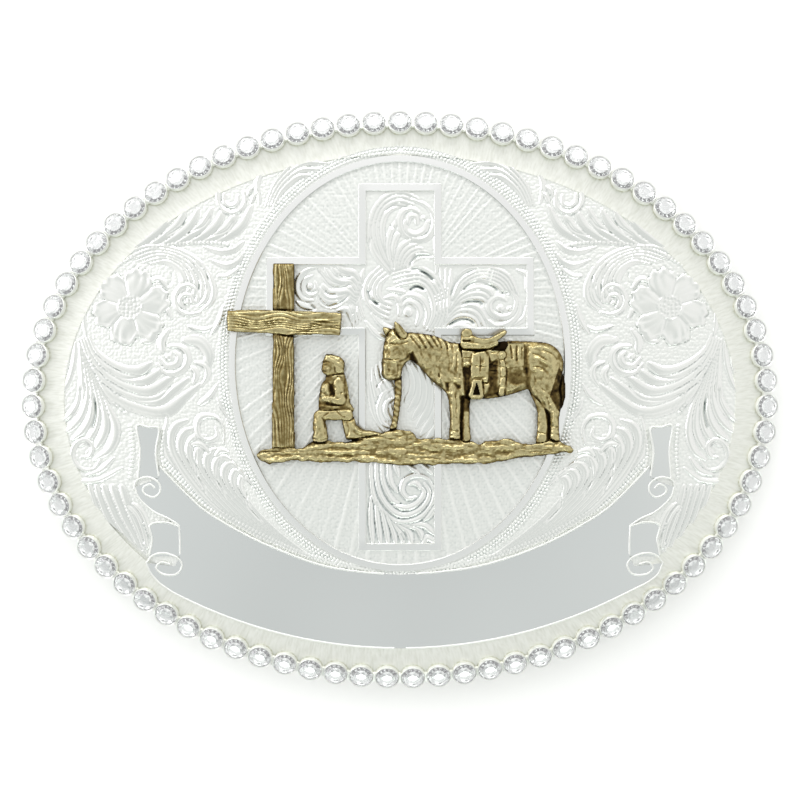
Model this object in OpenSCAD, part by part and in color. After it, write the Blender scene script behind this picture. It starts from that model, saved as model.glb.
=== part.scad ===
// Western trophy buckle. A domed oval plate of silver-plated metal carries a rim of crystals
// set in cups, a raised oval frame round a large engraved cross, scrollwork and a bare banner.
// A gold-coloured casting of a cross, a kneeling figure and a horse is pegged to its face.
// On its back are a wire loop for the belt strap and a hook post for the belt holes.
// The buckle lies on its back: +X is the viewer's right, +Y is up on the face, and +Z leaves
// the face. The origin is the centre of the area that it covers, on the surface below it.

/* [Plate] */
// Width of the buckle over its cups
buckle_w = 105; // [103:0.5:107]
// Height of the buckle over its cups
buckle_h = 79.8; // [78.8:0.2:80.8]
// Radius of the dome of the face
dome_r = 240; // [225:5:260]
// Thickness of the plate
plate_t = 1.6; // [1.5:0.1:1.8]
// Height of the middle of the plate's back above the surface that the buckle lies on
back_z = 11.7; // [11.5:0.1:12.5]
// Height of the scrollwork above its ground
leaf_h = 0.25; // [0.2:0.05:0.3]
// Height of the frame, the cross border and the banner above the ground
frame_h = 0.4; // [0.35:0.05:0.45]

/* [Rim of stones] */
// Number of stones
stones = 79; // [77:2:79]
// Outer radius of a cup
cup_r = 1.68; // [1.6:0.02:1.7]
// Depth of a cup along its axis
cup_len = 2.2; // [2:0.1:2.4]
// Angle that the cups lean outward
cup_tilt = 30; // [25:1:32]
// Height of a stone's girdle above the dome
cup_lift = 0.6; // [0.5:0.1:0.8]
// Radius of a stone at its girdle
stone_r = 1.42; // [1.3:0.02:1.44]
// Height of a stone's crown
crown_h = 0.8; // [0.6:0.05:0.9]
// Radius of a stone's table
table_r = 0.84; // [0.7:0.02:0.9]
// Depth of a stone below its girdle
pavilion_h = 1.3; // [1:0.1:1.4]

/* [Oval frame and cross] */
// Half width of the oval frame
oval_a = 23.7; // [23:0.1:24]
// Half height of the oval frame
oval_b = 28.8; // [28:0.1:29]
// Height of the oval's centre above the buckle's centre
oval_y = 5.1; // [4.8:0.1:5.4]
// Width of the oval frame's band
oval_band = 1; // [0.8:0.1:1.3]
// Half width of the cross's upright
cross_a = 5.75; // [5.5:0.05:6]
// Top of the upright
cross_top = 29.9; // [29:0.1:30.5]
// Foot of the upright
cross_foot = -20.8; // [-21.2:0.1:-20]
// Half length of the cross's arms
arm_a = 18.5; // [18:0.1:19]
// Top of the arms
arm_top = 19.7; // [19:0.1:20]
// Underside of the arms
arm_foot = 8.9; // [8.5:0.1:9.5]
// Width of the border round the cross
cross_band = 1.1; // [0.9:0.1:1.3]

/* [Banner] */
// Height of the centre of the banner's upper edge
banner_top_y = 19.05; // [18.8:0.05:19.3]
// Radius of the banner's upper edge
banner_top_r = 43.45; // [43.2:0.05:43.6]
// Height of the centre of the banner's lower edge
banner_low_y = 34; // [33.8:0.1:34.2]
// Radius of the banner's lower edge
banner_low_r = 68.3; // [68:0.1:68.6]
// Half width of the banner's middle
banner_a = 33.2; // [33:0.1:33.4]

/* [Overlay casting] */
// Thickness of the thinnest part of the casting
overlay_t = 0.8; // [0.7:0.1:1]
// Gap between the casting and the plate's relief
overlay_gap = 0.05; // [0.05:0.01:0.1]
// Radius of the two pegs on the casting's back
peg_r = 0.7; // [0.6:0.05:0.8]

/* [Back fittings] */
// Inside width of the belt loop
loop_w = 40; // [39:0.5:41]
// Diameter of the loop's wire
loop_wire = 3; // [2.8:0.1:3.2]
// Distance of the loop from the buckle's centre
loop_x = 33; // [32:0.5:34]
// Radius of the loop's bends, at the middle of the wire
loop_bend = 3; // [2.5:0.5:3.5]
// Distance of the hook post from the buckle's centre
hook_x = 36; // [35:0.5:37]
// Diameter of the hook post
hook_d = 3.2; // [3:0.1:3.4]
// Diameter of the hook post's foot in its socket
hook_foot_d = 2.4; // [2.2:0.1:2.6]
// Height of the sockets on the plate's back
boss_h = 1.2; // [1:0.1:1.4]
// Gap round a foot in its socket, and round a stone in its cup
fit_gap = 0.05; // [0.05:0.01:0.08]

/* [Hidden] */
$fn = 48;

back_r = dome_r - plate_t;
dome_z = back_z - back_r;
dome_fn = 360;
// Radius of the sphere inside the plate that the relief rises from
relief_r = (back_r + dome_r) / 2;
// Height above everything on the face
over_all = back_z + 10;
// Height of the tools that cut holes into the face, and how far a tool starts outside a face
cutter_h = 4;
overcut = 1;
// Height above which the banner's middle is cut off
banner_end_y = -6;
// Width of the wall round a foot's socket, and how deep the foot stands in it
boss_wall = 0.9;
foot_depth = 1.8;
peg_places = [[-16, -1], [10, -3.5]];
peg_depth = 1;
// Room below a stone's point, and the heights of its girdle's edges
tip_room = 0.2;
girdle_top = 0.1;
girdle_foot = -0.05;
stone_sides = 8;
// Heights of the casting's tiers above its thinnest part
post_h = 0.2;
limb_h = 0.5;
body_h = 0.8;
saddle_h = 1.1;

// Semi-axes of the ellipse that the stones' centres lie on
rim_a = buckle_w / 2 - cup_r * cos(cup_tilt);
rim_b = buckle_h / 2 - cup_r * cos(cup_tilt);

// Height of the sphere of radius r about the dome's centre, above the point [x, y]
function sphere_z(r, x, y) = dome_z + sqrt(r * r - x * x - y * y);

// Points of an ellipse
function ellipse(a, b, n = 96) = [for (i = [0:n - 1]) [a * cos(360 * i / n), b * sin(360 * i / n)]];

// Angle of the ellipse's parameter against the distance along it, counted from its top
rim_steps = 720;
function rim_point(i) = let (t = 90 + 360 * i / rim_steps) [rim_a * cos(t), rim_b * sin(t)];
function rim_path(i, d) = i > rim_steps ? []
    : let (step = i == 0 ? 0 : norm(rim_point(i) - rim_point(i - 1)))
      concat([[d + step, 90 + 360 * i / rim_steps]], rim_path(i + 1, d + step));
rim_table = rim_path(0, 0);
rim_len = rim_table[rim_steps][0];
function stone_angle(i) = lookup(rim_len * i / stones, rim_table);

// A strip's outline from rows of [x, y, half width]: up its left side, round its end and back
ROW_X = 0;
ROW_Y = 1;
ROW_R = 2;
function row_at(rows, i) = [rows[i][ROW_X], rows[i][ROW_Y]];
function row_dir(rows, i) =
    let (a = row_at(rows, max(i - 1, 0)), b = row_at(rows, min(i + 1, len(rows) - 1)))
    (b - a) / norm(b - a);
function row_side(rows, i, s) =
    let (d = row_dir(rows, i)) row_at(rows, i) + s * rows[i][ROW_R] * [-d[1], d[0]];
function row_end(rows, i, s) =
    let (d = row_dir(rows, i), r = rows[i][ROW_R])
    [for (a = [-60:30:60]) row_at(rows, i) + s * r * (cos(a) * d - sin(a) * [-d[1], d[0]])];
function strip(rows) =
    let (last = len(rows) - 1)
    concat([for (i = [0:last]) row_side(rows, i, 1)], row_end(rows, last, 1),
           [for (i = [last:-1:0]) row_side(rows, i, -1)], row_end(rows, 0, -1));

// Scroll leaves of the right half: where each starts, its bearing there, its length, how far
// the bearing turns, and its half width
LEAF_X = 0;
LEAF_Y = 1;
LEAF_DIR = 2;
LEAF_LEN = 3;
LEAF_TURN = 4;
LEAF_R = 5;
leaves = [
    [22.2, 30.5, 165, 8, 20, 1], [20.1, 27, 90, 11, -230, 0.9], [23, 25.5, -60, 7, 60, 1],
    [26.3, 25.6, -60, 8, 60, 1.1], [30.7, 24.7, -60, 7, 55, 1.1], [26.3, 11.1, 100, 12, -100, 1.2],
    [27.7, 12.5, 90, 5, -200, 0.7], [30.7, 3, -60, 14, 130, 1.1], [29.8, 7.6, -80, 6, 200, 0.7],
    [27, 7.6, -110, 6, 60, 0.9], [28.5, 2.6, -75, 13, 95, 0.8], [43.9, 2.1, -95, 6.5, 50, 0.9],
    [41.8, 0.7, -100, 7, 60, 0.9], [39.9, -5.2, -70, 8, 110, 0.8], [38.8, -14, -60, 5, -60, 0.7],
    [25.6, -3.5, -90, 8, -30, 0.9], [29, -4.2, -80, 10, -50, 0.9], [32, -4.5, -95, 7, -35, 0.8],
    [22.2, -10.4, -80, 6, -50, 0.8]
];
leaf_steps = 7;
leaf_tip_r = 0.12;
leaf_belly = 0.8;
function leaf_dir(l, u) = l[LEAF_DIR] + l[LEAF_TURN] * u * u;
function leaf_xy(l, k) = k == 0 ? [l[LEAF_X], l[LEAF_Y]]
    : leaf_xy(l, k - 1) + l[LEAF_LEN] / leaf_steps
      * [cos(leaf_dir(l, (k - 0.5) / leaf_steps)), sin(leaf_dir(l, (k - 0.5) / leaf_steps))];
function leaf_r(l, k) = leaf_tip_r + l[LEAF_R] * sin(180 * pow(k / leaf_steps, leaf_belly));
function leaf_rows(l) = [for (k = [0:leaf_steps]) concat(leaf_xy(l, k), leaf_r(l, k))];

// The banner's folded ends, each a strip whose foot laps over a roll: the foot, the strip's half
// width and height, and the roll's radius
FOLD_X = 0;
FOLD_Y = 1;
FOLD_A = 2;
FOLD_H = 3;
FOLD_ROLL = 4;
folds = [[36, -10.6, 1.4, 7, 1.75], [33.9, -21.5, 2, 4.6, 2.1]];
roll_lap = 0.4;

// The two flowers, whose petals leave notches as deep as petal_cut of the radius
flower_at = [37.3, 12.8];
flower_r = 5.4;
petals = 6;
petal_cut = 0.24;
function flower_edge(n) = [for (i = [0:n - 1])
    let (a = 360 * i / n, r = flower_r * (1 - petal_cut * (1 - sqrt(abs(cos(a * petals / 2))))))
    flower_at + r * [cos(a), sin(a)]];

// The casting on the face, in strips: [x, y, half width] rows
post_rows = [[-16.1, 18.9, 1.4], [-16.1, -6.2, 1.55]];
beam_rows = [[-23.8, 10.8, 1.5], [-16, 10.7, 1.6], [-8.2, 10.4, 1.6]];
ground_edge = [
    [-19.9, -7.6], [-19, -6.8], [-13.5, -6.7], [-12, -5.6], [-7.6, -5.6], [-2, -4.4], [-0.6, -3.9],
    [1.4, -4.2], [2.6, -5.2], [6.4, -5.2], [9.8, -5.7], [11.6, -5.9], [13.4, -5.3], [16.6, -5.8],
    [18.8, -6.1], [22.2, -5.6], [23.9, -6.7], [22.9, -7.2], [16.6, -7.9], [11.2, -8.9], [2.8, -9],
    [-4.2, -8.7], [-11, -8.6], [-16, -8.3], [-18.2, -8.9], [-19.6, -8.3]
];
head_rows = [[-9.3, 5.3, 1.25], [-9.3, 4.3, 1.35]];
torso_rows = [[-8.9, 3.4, 1.1], [-8.7, 1.7, 1.6], [-8.8, 0, 1.75], [-8.6, -1.3, 1.7]];
arm_rows = [[-8.1, 2.3, 0.7], [-8, 0.5, 0.8], [-8.6, -0.1, 0.75], [-10.8, 0.6, 0.6]];
thigh_rows = [[-7.4, -2.1, 0.95], [-11.3, -2.1, 0.85]];
shin_rows = [[-11.4, -2.4, 0.8], [-11.1, -4.2, 1.05], [-11, -5.4, 1]];
kneel_rows = [[-7.2, -2.5, 0.95], [-6.8, -4.2, 0.9], [-4.2, -4.8, 0.65], [-2, -5, 0.55]];
horse_head_rows = [[-0.5, 8.2, 1.4], [-0.6, 6.8, 1.75], [-1, 5.3, 1.5], [-1.1, 4.1, 1.25]];
ear_rows = [[-0.5, 10.4, 0.25], [-0.3, 9, 0.6]];
far_ear_rows = [[-2, 9.6, 0.25], [-1.5, 8.5, 0.55]];
neck_rows = [[0.6, 7.8, 1.4], [2.5, 7.1, 2.1], [4.7, 5.9, 2.7], [6.5, 4.6, 3]];
barrel_rows = [[7.6, 4.5, 3.1], [10.4, 4, 3.6], [13.2, 4.2, 3.6], [15.5, 4.7, 3.4], [17.7, 5, 3.3]];
haunch_rows = [[19.3, 5.1, 2.9], [19.5, 3, 2.4], [19.7, 1.2, 1.6], [20.2, 0.2, 1.2]];
near_hind_rows = [[20.2, 0.7, 1.2], [21, -1, 0.95], [21.3, -2.3, 0.7], [21.3, -4.2, 0.65], [21.4, -5.4, 0.8]];
far_hind_rows = [[19, 0.7, 1.1], [19.5, -1, 0.75], [19.7, -2.8, 0.6], [19.5, -4.5, 0.62], [19.4, -5.5, 0.75]];
near_fore_rows = [[7.2, 1.6, 1.5], [7.3, -0.3, 0.9], [7.5, -2.5, 0.72], [7.5, -4.5, 0.66], [7.6, -5.4, 0.8]];
far_fore_rows = [[8.9, 0.7, 0.8], [9, -1.4, 0.58], [9, -3.5, 0.55], [9.1, -5.2, 0.7]];
tail_rows = [[22, 4.7, 0.4], [22.3, 3, 0.55], [22.1, 1.1, 0.9], [21.9, -0.4, 0.7], [21.9, -1.5, 0.3]];
rein_rows = [[0, 2.8, 0.42], [-0.1, 0.7, 0.36], [-0.4, -1.4, 0.36], [-0.8, -4, 0.38]];
seat_rows = [[8.8, 8.9, 0.85], [9.7, 8.2, 0.8], [11.6, 7.7, 0.65], [13.3, 8.3, 0.6], [14.3, 9.2, 0.45]];
skirt_rows = [[8.9, 6.7, 0.6], [14, 6.7, 0.6]];
fender_rows = [[11, 6.4, 1.15], [10.8, 3.2, 1.05]];
cinch_rows = [[13.9, 6.4, 0.6], [13.9, 3.3, 0.55], [13.8, 0.7, 0.5]];
stirrup_edge = [[9.5, 2.8], [11.5, 2.8], [12, 0.2], [9, 0.2]];
stirrup_gap = [[10.3, 2.2], [10.7, 2.2], [11.2, 0.7], [9.8, 0.7]];

// Everything of a flat outline that lies between two spheres about the dome's centre
module on_face(low, high) {
    difference() {
        intersection() {
            linear_extrude(height = over_all) children();
            translate([0, 0, dome_z]) sphere(r = high, $fn = dome_fn);
        }
        translate([0, 0, dome_z]) sphere(r = low, $fn = dome_fn);
    }
}

// Puts a cup or a stone in its place on the rim, with its axis leaning outward
module at_rim(i) {
    t = stone_angle(i);
    x = rim_a * cos(t);
    y = rim_b * sin(t);
    translate([x, y, sphere_z(dome_r, x, y) + cup_lift])
        rotate([0, cup_tilt, atan2(sin(t) / rim_b, cos(t) / rim_a)])
            children();
}

module both_sides() {
    children();
    mirror([1, 0, 0]) children();
}

module cross_outline(e) {
    translate([-cross_a + e, cross_foot + e])
        square([2 * (cross_a - e), cross_top - cross_foot - 2 * e]);
    translate([-arm_a + e, arm_foot + e]) square([2 * (arm_a - e), arm_top - arm_foot - 2 * e]);
}

module banner_outline() {
    difference() {
        intersection() {
            translate([0, banner_low_y]) circle(r = banner_low_r);
            translate([-banner_a, -buckle_h / 2]) square([2 * banner_a, buckle_h / 2 + banner_end_y]);
        }
        translate([0, banner_top_y]) circle(r = banner_top_r);
    }
    both_sides() {
        for (f = folds) translate([f[FOLD_X] - f[FOLD_A], f[FOLD_Y]]) square([2 * f[FOLD_A], f[FOLD_H]]);
        for (f = folds) translate([f[FOLD_X], f[FOLD_Y] + roll_lap - f[FOLD_ROLL]])
            circle(r = f[FOLD_ROLL]);
    }
}

module engraved_plate() {
    color("gainsboro")
    difference() {
        union() {
            on_face(back_r, dome_r) polygon(ellipse(rim_a, rim_b));
            on_face(relief_r, dome_r + leaf_h) both_sides() {
                polygon(flower_edge(72));
                for (l = leaves) polygon(strip(leaf_rows(l)));
            }
            on_face(relief_r, dome_r + frame_h) {
                difference() {
                    translate([0, oval_y]) polygon(ellipse(oval_a, oval_b));
                    translate([0, oval_y]) polygon(ellipse(oval_a - oval_band, oval_b - oval_band));
                }
                difference() {
                    cross_outline(0);
                    cross_outline(cross_band);
                }
                banner_outline();
            }
            for (i = [0:stones - 1]) at_rim(i)
                translate([0, 0, -cup_len]) cylinder(r = cup_r, h = cup_len);
            for (s = [-1, 1]) socket(loop_x, s * (loop_w + loop_wire) / 2, loop_wire / 2);
            socket(-hook_x, 0, hook_foot_d / 2);
        }
        for (i = [0:stones - 1]) at_rim(i)
            translate([0, 0, -pavilion_h - tip_room]) cylinder(r = stone_r + fit_gap, h = cutter_h);
        for (p = peg_places) translate([p[0], p[1], sphere_z(dome_r, p[0], p[1]) - peg_depth - fit_gap])
            cylinder(r = peg_r + fit_gap, h = cutter_h);
        for (s = [-1, 1]) foot_hole(loop_x, s * (loop_w + loop_wire) / 2, loop_wire / 2);
        foot_hole(-hook_x, 0, hook_foot_d / 2);
    }
}

// A socket on the plate's back for a foot of radius r, and the blind hole in it
function boss_z(x, y) = sphere_z(back_r, x, y) - boss_h;
module socket(x, y, r) {
    translate([x, y, boss_z(x, y)]) cylinder(r = r + boss_wall, h = boss_h + plate_t / 2);
}
module foot_hole(x, y, r) {
    translate([x, y, boss_z(x, y) - overcut])
        cylinder(r = r + fit_gap, h = overcut + foot_depth + fit_gap);
}

// A round stone: table, 8 crown facets, girdle and 8 pavilion facets that meet in a point
function stone_ring(r, z) = [for (k = [0:stone_sides - 1])
    [r * cos(360 * k / stone_sides), r * sin(360 * k / stone_sides), z]];
module stone() {
    n = stone_sides;
    polyhedron(
        points = concat(stone_ring(table_r, crown_h), stone_ring(stone_r, girdle_top),
                        stone_ring(stone_r, girdle_foot), [[0, 0, -pavilion_h]]),
        faces = concat(
            [[for (k = [n - 1:-1:0]) k]],
            [for (r = [0, 1], k = [0:n - 1]) [r * n + k, r * n + (k + 1) % n,
                                             (r + 1) * n + (k + 1) % n, (r + 1) * n + k]],
            [for (k = [0:n - 1]) [2 * n + k, 2 * n + (k + 1) % n, 3 * n]]));
}

module rim_stones() {
    color("white") for (i = [0:stones - 1]) at_rim(i) stone();
}

overlay_r = dome_r + frame_h + overlay_gap;
module tier(h) {
    on_face(overlay_r, overlay_r + overlay_t + h) children();
}

module figure_overlay() {
    color("darkgoldenrod") {
        tier(0) {
            polygon(ground_edge);
            polygon(strip(tail_rows));
            polygon(strip(rein_rows));
            polygon(strip(far_ear_rows));
        }
        tier(post_h) {
            polygon(strip(post_rows));
            polygon(strip(far_hind_rows));
            polygon(strip(far_fore_rows));
            polygon(strip(kneel_rows));
        }
        tier(limb_h) {
            polygon(strip(beam_rows));
            polygon(strip(torso_rows));
            polygon(strip(head_rows));
            polygon(strip(shin_rows));
            polygon(strip(near_hind_rows));
            polygon(strip(near_fore_rows));
            polygon(strip(ear_rows));
            polygon(strip(neck_rows));
        }
        tier(body_h) {
            polygon(strip(thigh_rows));
            polygon(strip(arm_rows));
            polygon(strip(barrel_rows));
            polygon(strip(haunch_rows));
            polygon(strip(horse_head_rows));
        }
        tier(saddle_h) {
            polygon(strip(seat_rows));
            polygon(strip(skirt_rows));
            polygon(strip(fender_rows));
            polygon(strip(cinch_rows));
            difference() {
                polygon(stirrup_edge);
                polygon(stirrup_gap);
            }
        }
        for (p = peg_places) translate([p[0], p[1], sphere_z(dome_r, p[0], p[1]) - peg_depth])
            cylinder(r = peg_r, h = peg_depth + frame_h + overlay_gap + overlay_t / 2);
    }
}

module belt_loop() {
    r = loop_wire / 2;
    y = (loop_w + loop_wire) / 2;
    foot = boss_z(loop_x, y) + foot_depth;
    color("silver") {
        translate([loop_x, 0, r]) rotate([90, 0, 0]) cylinder(r = r, h = 2 * (y - loop_bend), center = true);
        for (s = [-1, 1]) {
            translate([loop_x, s * (y - loop_bend), r + loop_bend]) rotate([0, 90, 0])
                rotate([0, 0, s > 0 ? 0 : -90])
                    rotate_extrude(angle = 90) translate([loop_bend, 0]) circle(r = r);
            translate([loop_x, s * y, r + loop_bend]) cylinder(r = r, h = foot - r - loop_bend);
        }
    }
}

module belt_hook() {
    r = hook_d / 2;
    shoulder = boss_z(hook_x, 0) - fit_gap;
    color("silver") translate([-hook_x, 0, 0]) {
        translate([0, 0, r]) sphere(r = r);
        translate([0, 0, r]) cylinder(r = r, h = shoulder - r);
        translate([0, 0, shoulder - overcut])
            cylinder(r = hook_foot_d / 2, h = overcut + fit_gap + foot_depth);
    }
}

engraved_plate();
rim_stones();
figure_overlay();
belt_loop();
belt_hook();
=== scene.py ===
# %% [markdown]
# # A western trophy buckle
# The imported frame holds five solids: the engraved plate, the field of rim stones, the cast
# overlay, the belt loop and the belt hook. This lesson dresses them. The plate is covered by
# closed relief pieces, the stones by a chain of cups and cut stones, and the overlay by a
# finer casting. The loop and the hook keep their own meshes and get a nickel finish.

# %% The frame
import math
import bmesh
import bpy
import numpy as np
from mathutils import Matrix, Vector
from mathutils.geometry import delaunay_2d_cdt


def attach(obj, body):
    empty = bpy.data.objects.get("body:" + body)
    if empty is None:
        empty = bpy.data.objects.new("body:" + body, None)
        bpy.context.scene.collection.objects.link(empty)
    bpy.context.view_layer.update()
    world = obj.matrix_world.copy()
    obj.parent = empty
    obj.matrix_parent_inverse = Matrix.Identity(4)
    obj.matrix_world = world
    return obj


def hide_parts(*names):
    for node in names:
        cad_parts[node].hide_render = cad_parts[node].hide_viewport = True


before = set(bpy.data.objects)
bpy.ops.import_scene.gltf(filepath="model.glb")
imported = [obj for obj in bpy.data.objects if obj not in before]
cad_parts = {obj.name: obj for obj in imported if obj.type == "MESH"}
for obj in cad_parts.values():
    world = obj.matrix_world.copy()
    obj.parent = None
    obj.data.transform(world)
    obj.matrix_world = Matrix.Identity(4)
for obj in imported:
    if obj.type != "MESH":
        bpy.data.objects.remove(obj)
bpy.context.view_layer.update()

# %% [markdown]
# ## Sizes
# Lengths are in millimetres, as on a maker's drawing, and become metres only where a mesh is
# written. The names repeat those of the part's source. The ornament is laid out on a drawing
# 800 units square whose middle is the buckle's centre, as an engraver lays out a pattern, with
# 758 units to the buckle's 105 mm and y counted down the sheet.

# %% Sizes and the drawing
MM = 0.001
DOME_R = 240.0  # the sphere of the face
PLATE_T = 1.6
BACK_Z = 11.7  # the middle of the back
BACK_R = DOME_R - PLATE_T
DOME_Z = BACK_Z - BACK_R
WIDTH, HEIGHT = 105, 79.8
LEAF_H = 0.25
RELIEF_BOTTOM = -0.8  # how far the relief pieces reach below the face
BAND_W = 1.1  # the oval frame and the border of the cross
OVAL_A, OVAL_B, OVAL_Y = 23.7, 28.8, 5.1  # half axes of the oval frame, and its middle
CROSS_A, CROSS_TOP, CROSS_FOOT = 5.75, 29.9, -20.8  # the upright's half width and its ends
ARM_A, ARM_TOP, ARM_FOOT = 18.5, 19.7, 8.9  # the arms' half length and their edges
BANNER_H, BANNER_BOTTOM = 0.3, -0.7
BANNER_LOW_Y, BANNER_LOW_R = 34.0, 68.3
BANNER_LEAN = 1.3  # how much nearer the middle the banner's left end lies
FIELD_A, FIELD_B = 46.6, 33.9  # half axes of the scrollwork
UNIT = WIDTH / 758
MIDDLE = 400


def paper(points):
    """Points of the drawing in millimetres about the buckle's centre, with y up."""
    return (np.asarray(points, float).reshape(-1, 2) - MIDDLE) * (UNIT, -UNIT)


def dome(x, y, h=0.0):
    """Height of the face's sphere, raised by h, above the point x, y."""
    return DOME_Z + np.sqrt((DOME_R + h) ** 2 - x * x - y * y)


def on_dome(x, y, h):
    """Rows of x, y and z on the face's sphere, raised by h."""
    return np.column_stack([np.ravel(x), np.ravel(y), np.ravel(dome(x, y, h))])


def ease(v):
    """0 below 0, 1 above 1 and a smooth rise between."""
    v = np.clip(v, 0, 1)
    return v * v * (3 - 2 * v)


print("a drawing unit is", round(UNIT, 4), "mm")
print("the dome's top is at", round(float(dome(0, 0)), 2), "mm")

# %% [markdown]
# ## Colour and node helpers
# Colours are picked in sRGB, as a paint maker lists them, and the shaders want linear light.
# One small function adds any node, sets its sockets and links it, so that each material reads
# as a list of what it is made of.

# %% Helpers for materials


def paint(code):
    """An sRGB hex colour as linear RGBA."""
    parts = [int(code[i:i + 2], 16) / 255 for i in (1, 3, 5)]
    return [p / 12.92 if p <= 0.04045 else ((p + 0.055) / 1.055) ** 2.4 for p in parts] + [1.0]


def add(tree, kind, values=None, links=None, **properties):
    """Adds a node, sets its properties and socket values, and links outputs to its sockets."""
    node = tree.nodes.new("ShaderNode" + kind)
    for name, value in properties.items():
        setattr(node, name, value)
    for name, value in (values or {}).items():
        node.inputs[name].default_value = value
    for name, output in (links or {}).items():
        tree.links.new(output, node.inputs[name])
    return node


def material(name):
    """A new material with its shader ready for values and links."""
    made = bpy.data.materials.new(name)
    made.use_nodes = True
    return made, made.node_tree, made.node_tree.nodes["Principled BSDF"]


def per_mm(size):
    """Scale of a texture in object space whose features measure size millimetres."""
    return 1 / (size * MM)


print("middle grey in linear light", round(paint("#808080")[0], 3))

# %% [markdown]
# ## Silver plate
# The plate is cast brass under a few microns of bright silver. Cut silver is bright, and
# blasted silver scatters the light and reads as white. Each relief piece carries a polish value
# on its points: 1 where the engraver's tool left it bright, 0 where the ground was blasted.
# Roughness follows it. A hollow value darkens what lies deep. Part of that is tarnish, which
# gathers there first, and part is painted shade, which takes the deepest cuts almost to black. The
# grit is about 0.12 mm, near the finest that the render can show.

# %% Bright silver with blasted grounds
silver, tree, shader = material("silver_plate")
where = add(tree, "TexCoord").outputs["Object"]
polish = add(tree, "Attribute", attribute_name="polish").outputs["Fac"]
hollow = add(tree, "Attribute", attribute_name="hollow").outputs["Fac"]
# Tarnish and painted shade: the deeper a point lies, the darker its colour.
tarnish_and_shade = add(tree, "ValToRGB", None, {"Fac": hollow})
tones = tarnish_and_shade.color_ramp.elements
tones[0].position, tones[0].color = 0.0, paint("#fafbf7")
tones[1].position, tones[1].color = 1.0, paint("#3c4346")
for place, code in ((0.3, "#eff1ed"), (0.55, "#d3d8d5"), (0.8, "#949c9b")):
    tones.new(place).color = paint(code)
rough = add(tree, "MapRange", {"To Min": 0.52, "To Max": 0.27}, {"Value": polish})
grit = add(tree, "TexNoise", {"Scale": per_mm(0.12), "Detail": 2.0},
           {"Vector": where}).outputs["Fac"]
blast = add(tree, "MapRange", {"To Min": 0.4, "To Max": 0.03}, {"Value": polish})
bump = add(tree, "Bump", {"Distance": 0.015 * MM},
           {"Height": grit, "Strength": blast.outputs["Result"]})
shader.inputs["Metallic"].default_value = 1.0
tree.links.new(tarnish_and_shade.outputs["Color"], shader.inputs["Base Color"])
tree.links.new(rough.outputs["Result"], shader.inputs["Roughness"])
tree.links.new(bump.outputs["Normal"], shader.inputs["Normal"])

# %% [markdown]
# ## Polished silver
# The banner is left smooth for engraving and brought to a mirror on a soft wheel, so it shows
# the tent above it as one calm grey. A haze in patches of 6 mm keeps that grey from being even.
# The bright foil under the stones is as smooth and shares the finish.

# %% Polished silver of the banner and the foil
mirror, tree, shader = material("polished_silver")
where = add(tree, "TexCoord").outputs["Object"]
haze = add(tree, "TexNoise", {"Scale": per_mm(6), "Detail": 4.0}, {"Vector": where}).outputs["Fac"]
rough = add(tree, "MapRange", {"To Min": 0.07, "To Max": 0.15}, {"Value": haze})
shader.inputs["Base Color"].default_value = paint("#eef0ef")
shader.inputs["Metallic"].default_value = 1.0
tree.links.new(rough.outputs["Result"], shader.inputs["Roughness"])

# %% [markdown]
# ## Satin silver
# The cups are too small to be polished one by one. A brush goes over them all and leaves a pale
# satin, so their lips show as thin white rings.

# %% Satin silver of the cups
satin, tree, shader = material("satin_silver")
shader.inputs["Base Color"].default_value = paint("#f8f9f5")
shader.inputs["Metallic"].default_value = 1.0
shader.inputs["Roughness"].default_value = 0.38

# %% [markdown]
# ## Buffed silver
# The frames were buffed after the ground beside them had been blasted. They come between the
# two: the eye sees pale bands that still carry an edge of light.

# %% Buffed silver of the frames
buffed, tree, shader = material("buffed_silver")
shader.inputs["Base Color"].default_value = paint("#f6f7f5")
shader.inputs["Metallic"].default_value = 1.0
shader.inputs["Roughness"].default_value = 0.25

# %% [markdown]
# ## Lacquered silver
# The border is cut with a fine grain and lacquered against tarnish. Each point's hollow value
# picks its tone from near white to a warm grey: darker in the low places of the grain, and a
# painted shade round the cups where they meet the band.

# %% Lacquered silver of the border
matte, tree, shader = material("lacquered_matte_silver")
hollow = add(tree, "Attribute", attribute_name="hollow").outputs["Fac"]
lacquer_and_shade = add(tree, "ValToRGB", None, {"Fac": hollow})
tones = lacquer_and_shade.color_ramp.elements
tones[0].position, tones[0].color = 0.0, paint("#fafbf4")
tones[1].position, tones[1].color = 1.0, paint("#b4b28e")
tones.new(0.45).color = paint("#e4e5da")
shader.inputs["Metallic"].default_value = 1.0
shader.inputs["Roughness"].default_value = 0.5
tree.links.new(lacquer_and_shade.outputs["Color"], shader.inputs["Base Color"])

# %% [markdown]
# ## Antiqued brass
# The figure and the horse are cast in yellow brass, dipped in a dark patina and rubbed back,
# so the patina stays in the recesses and the high places shine. Each point carries a recess
# value from its own relief, and a fine noise breaks up the edge of the patina.

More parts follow.
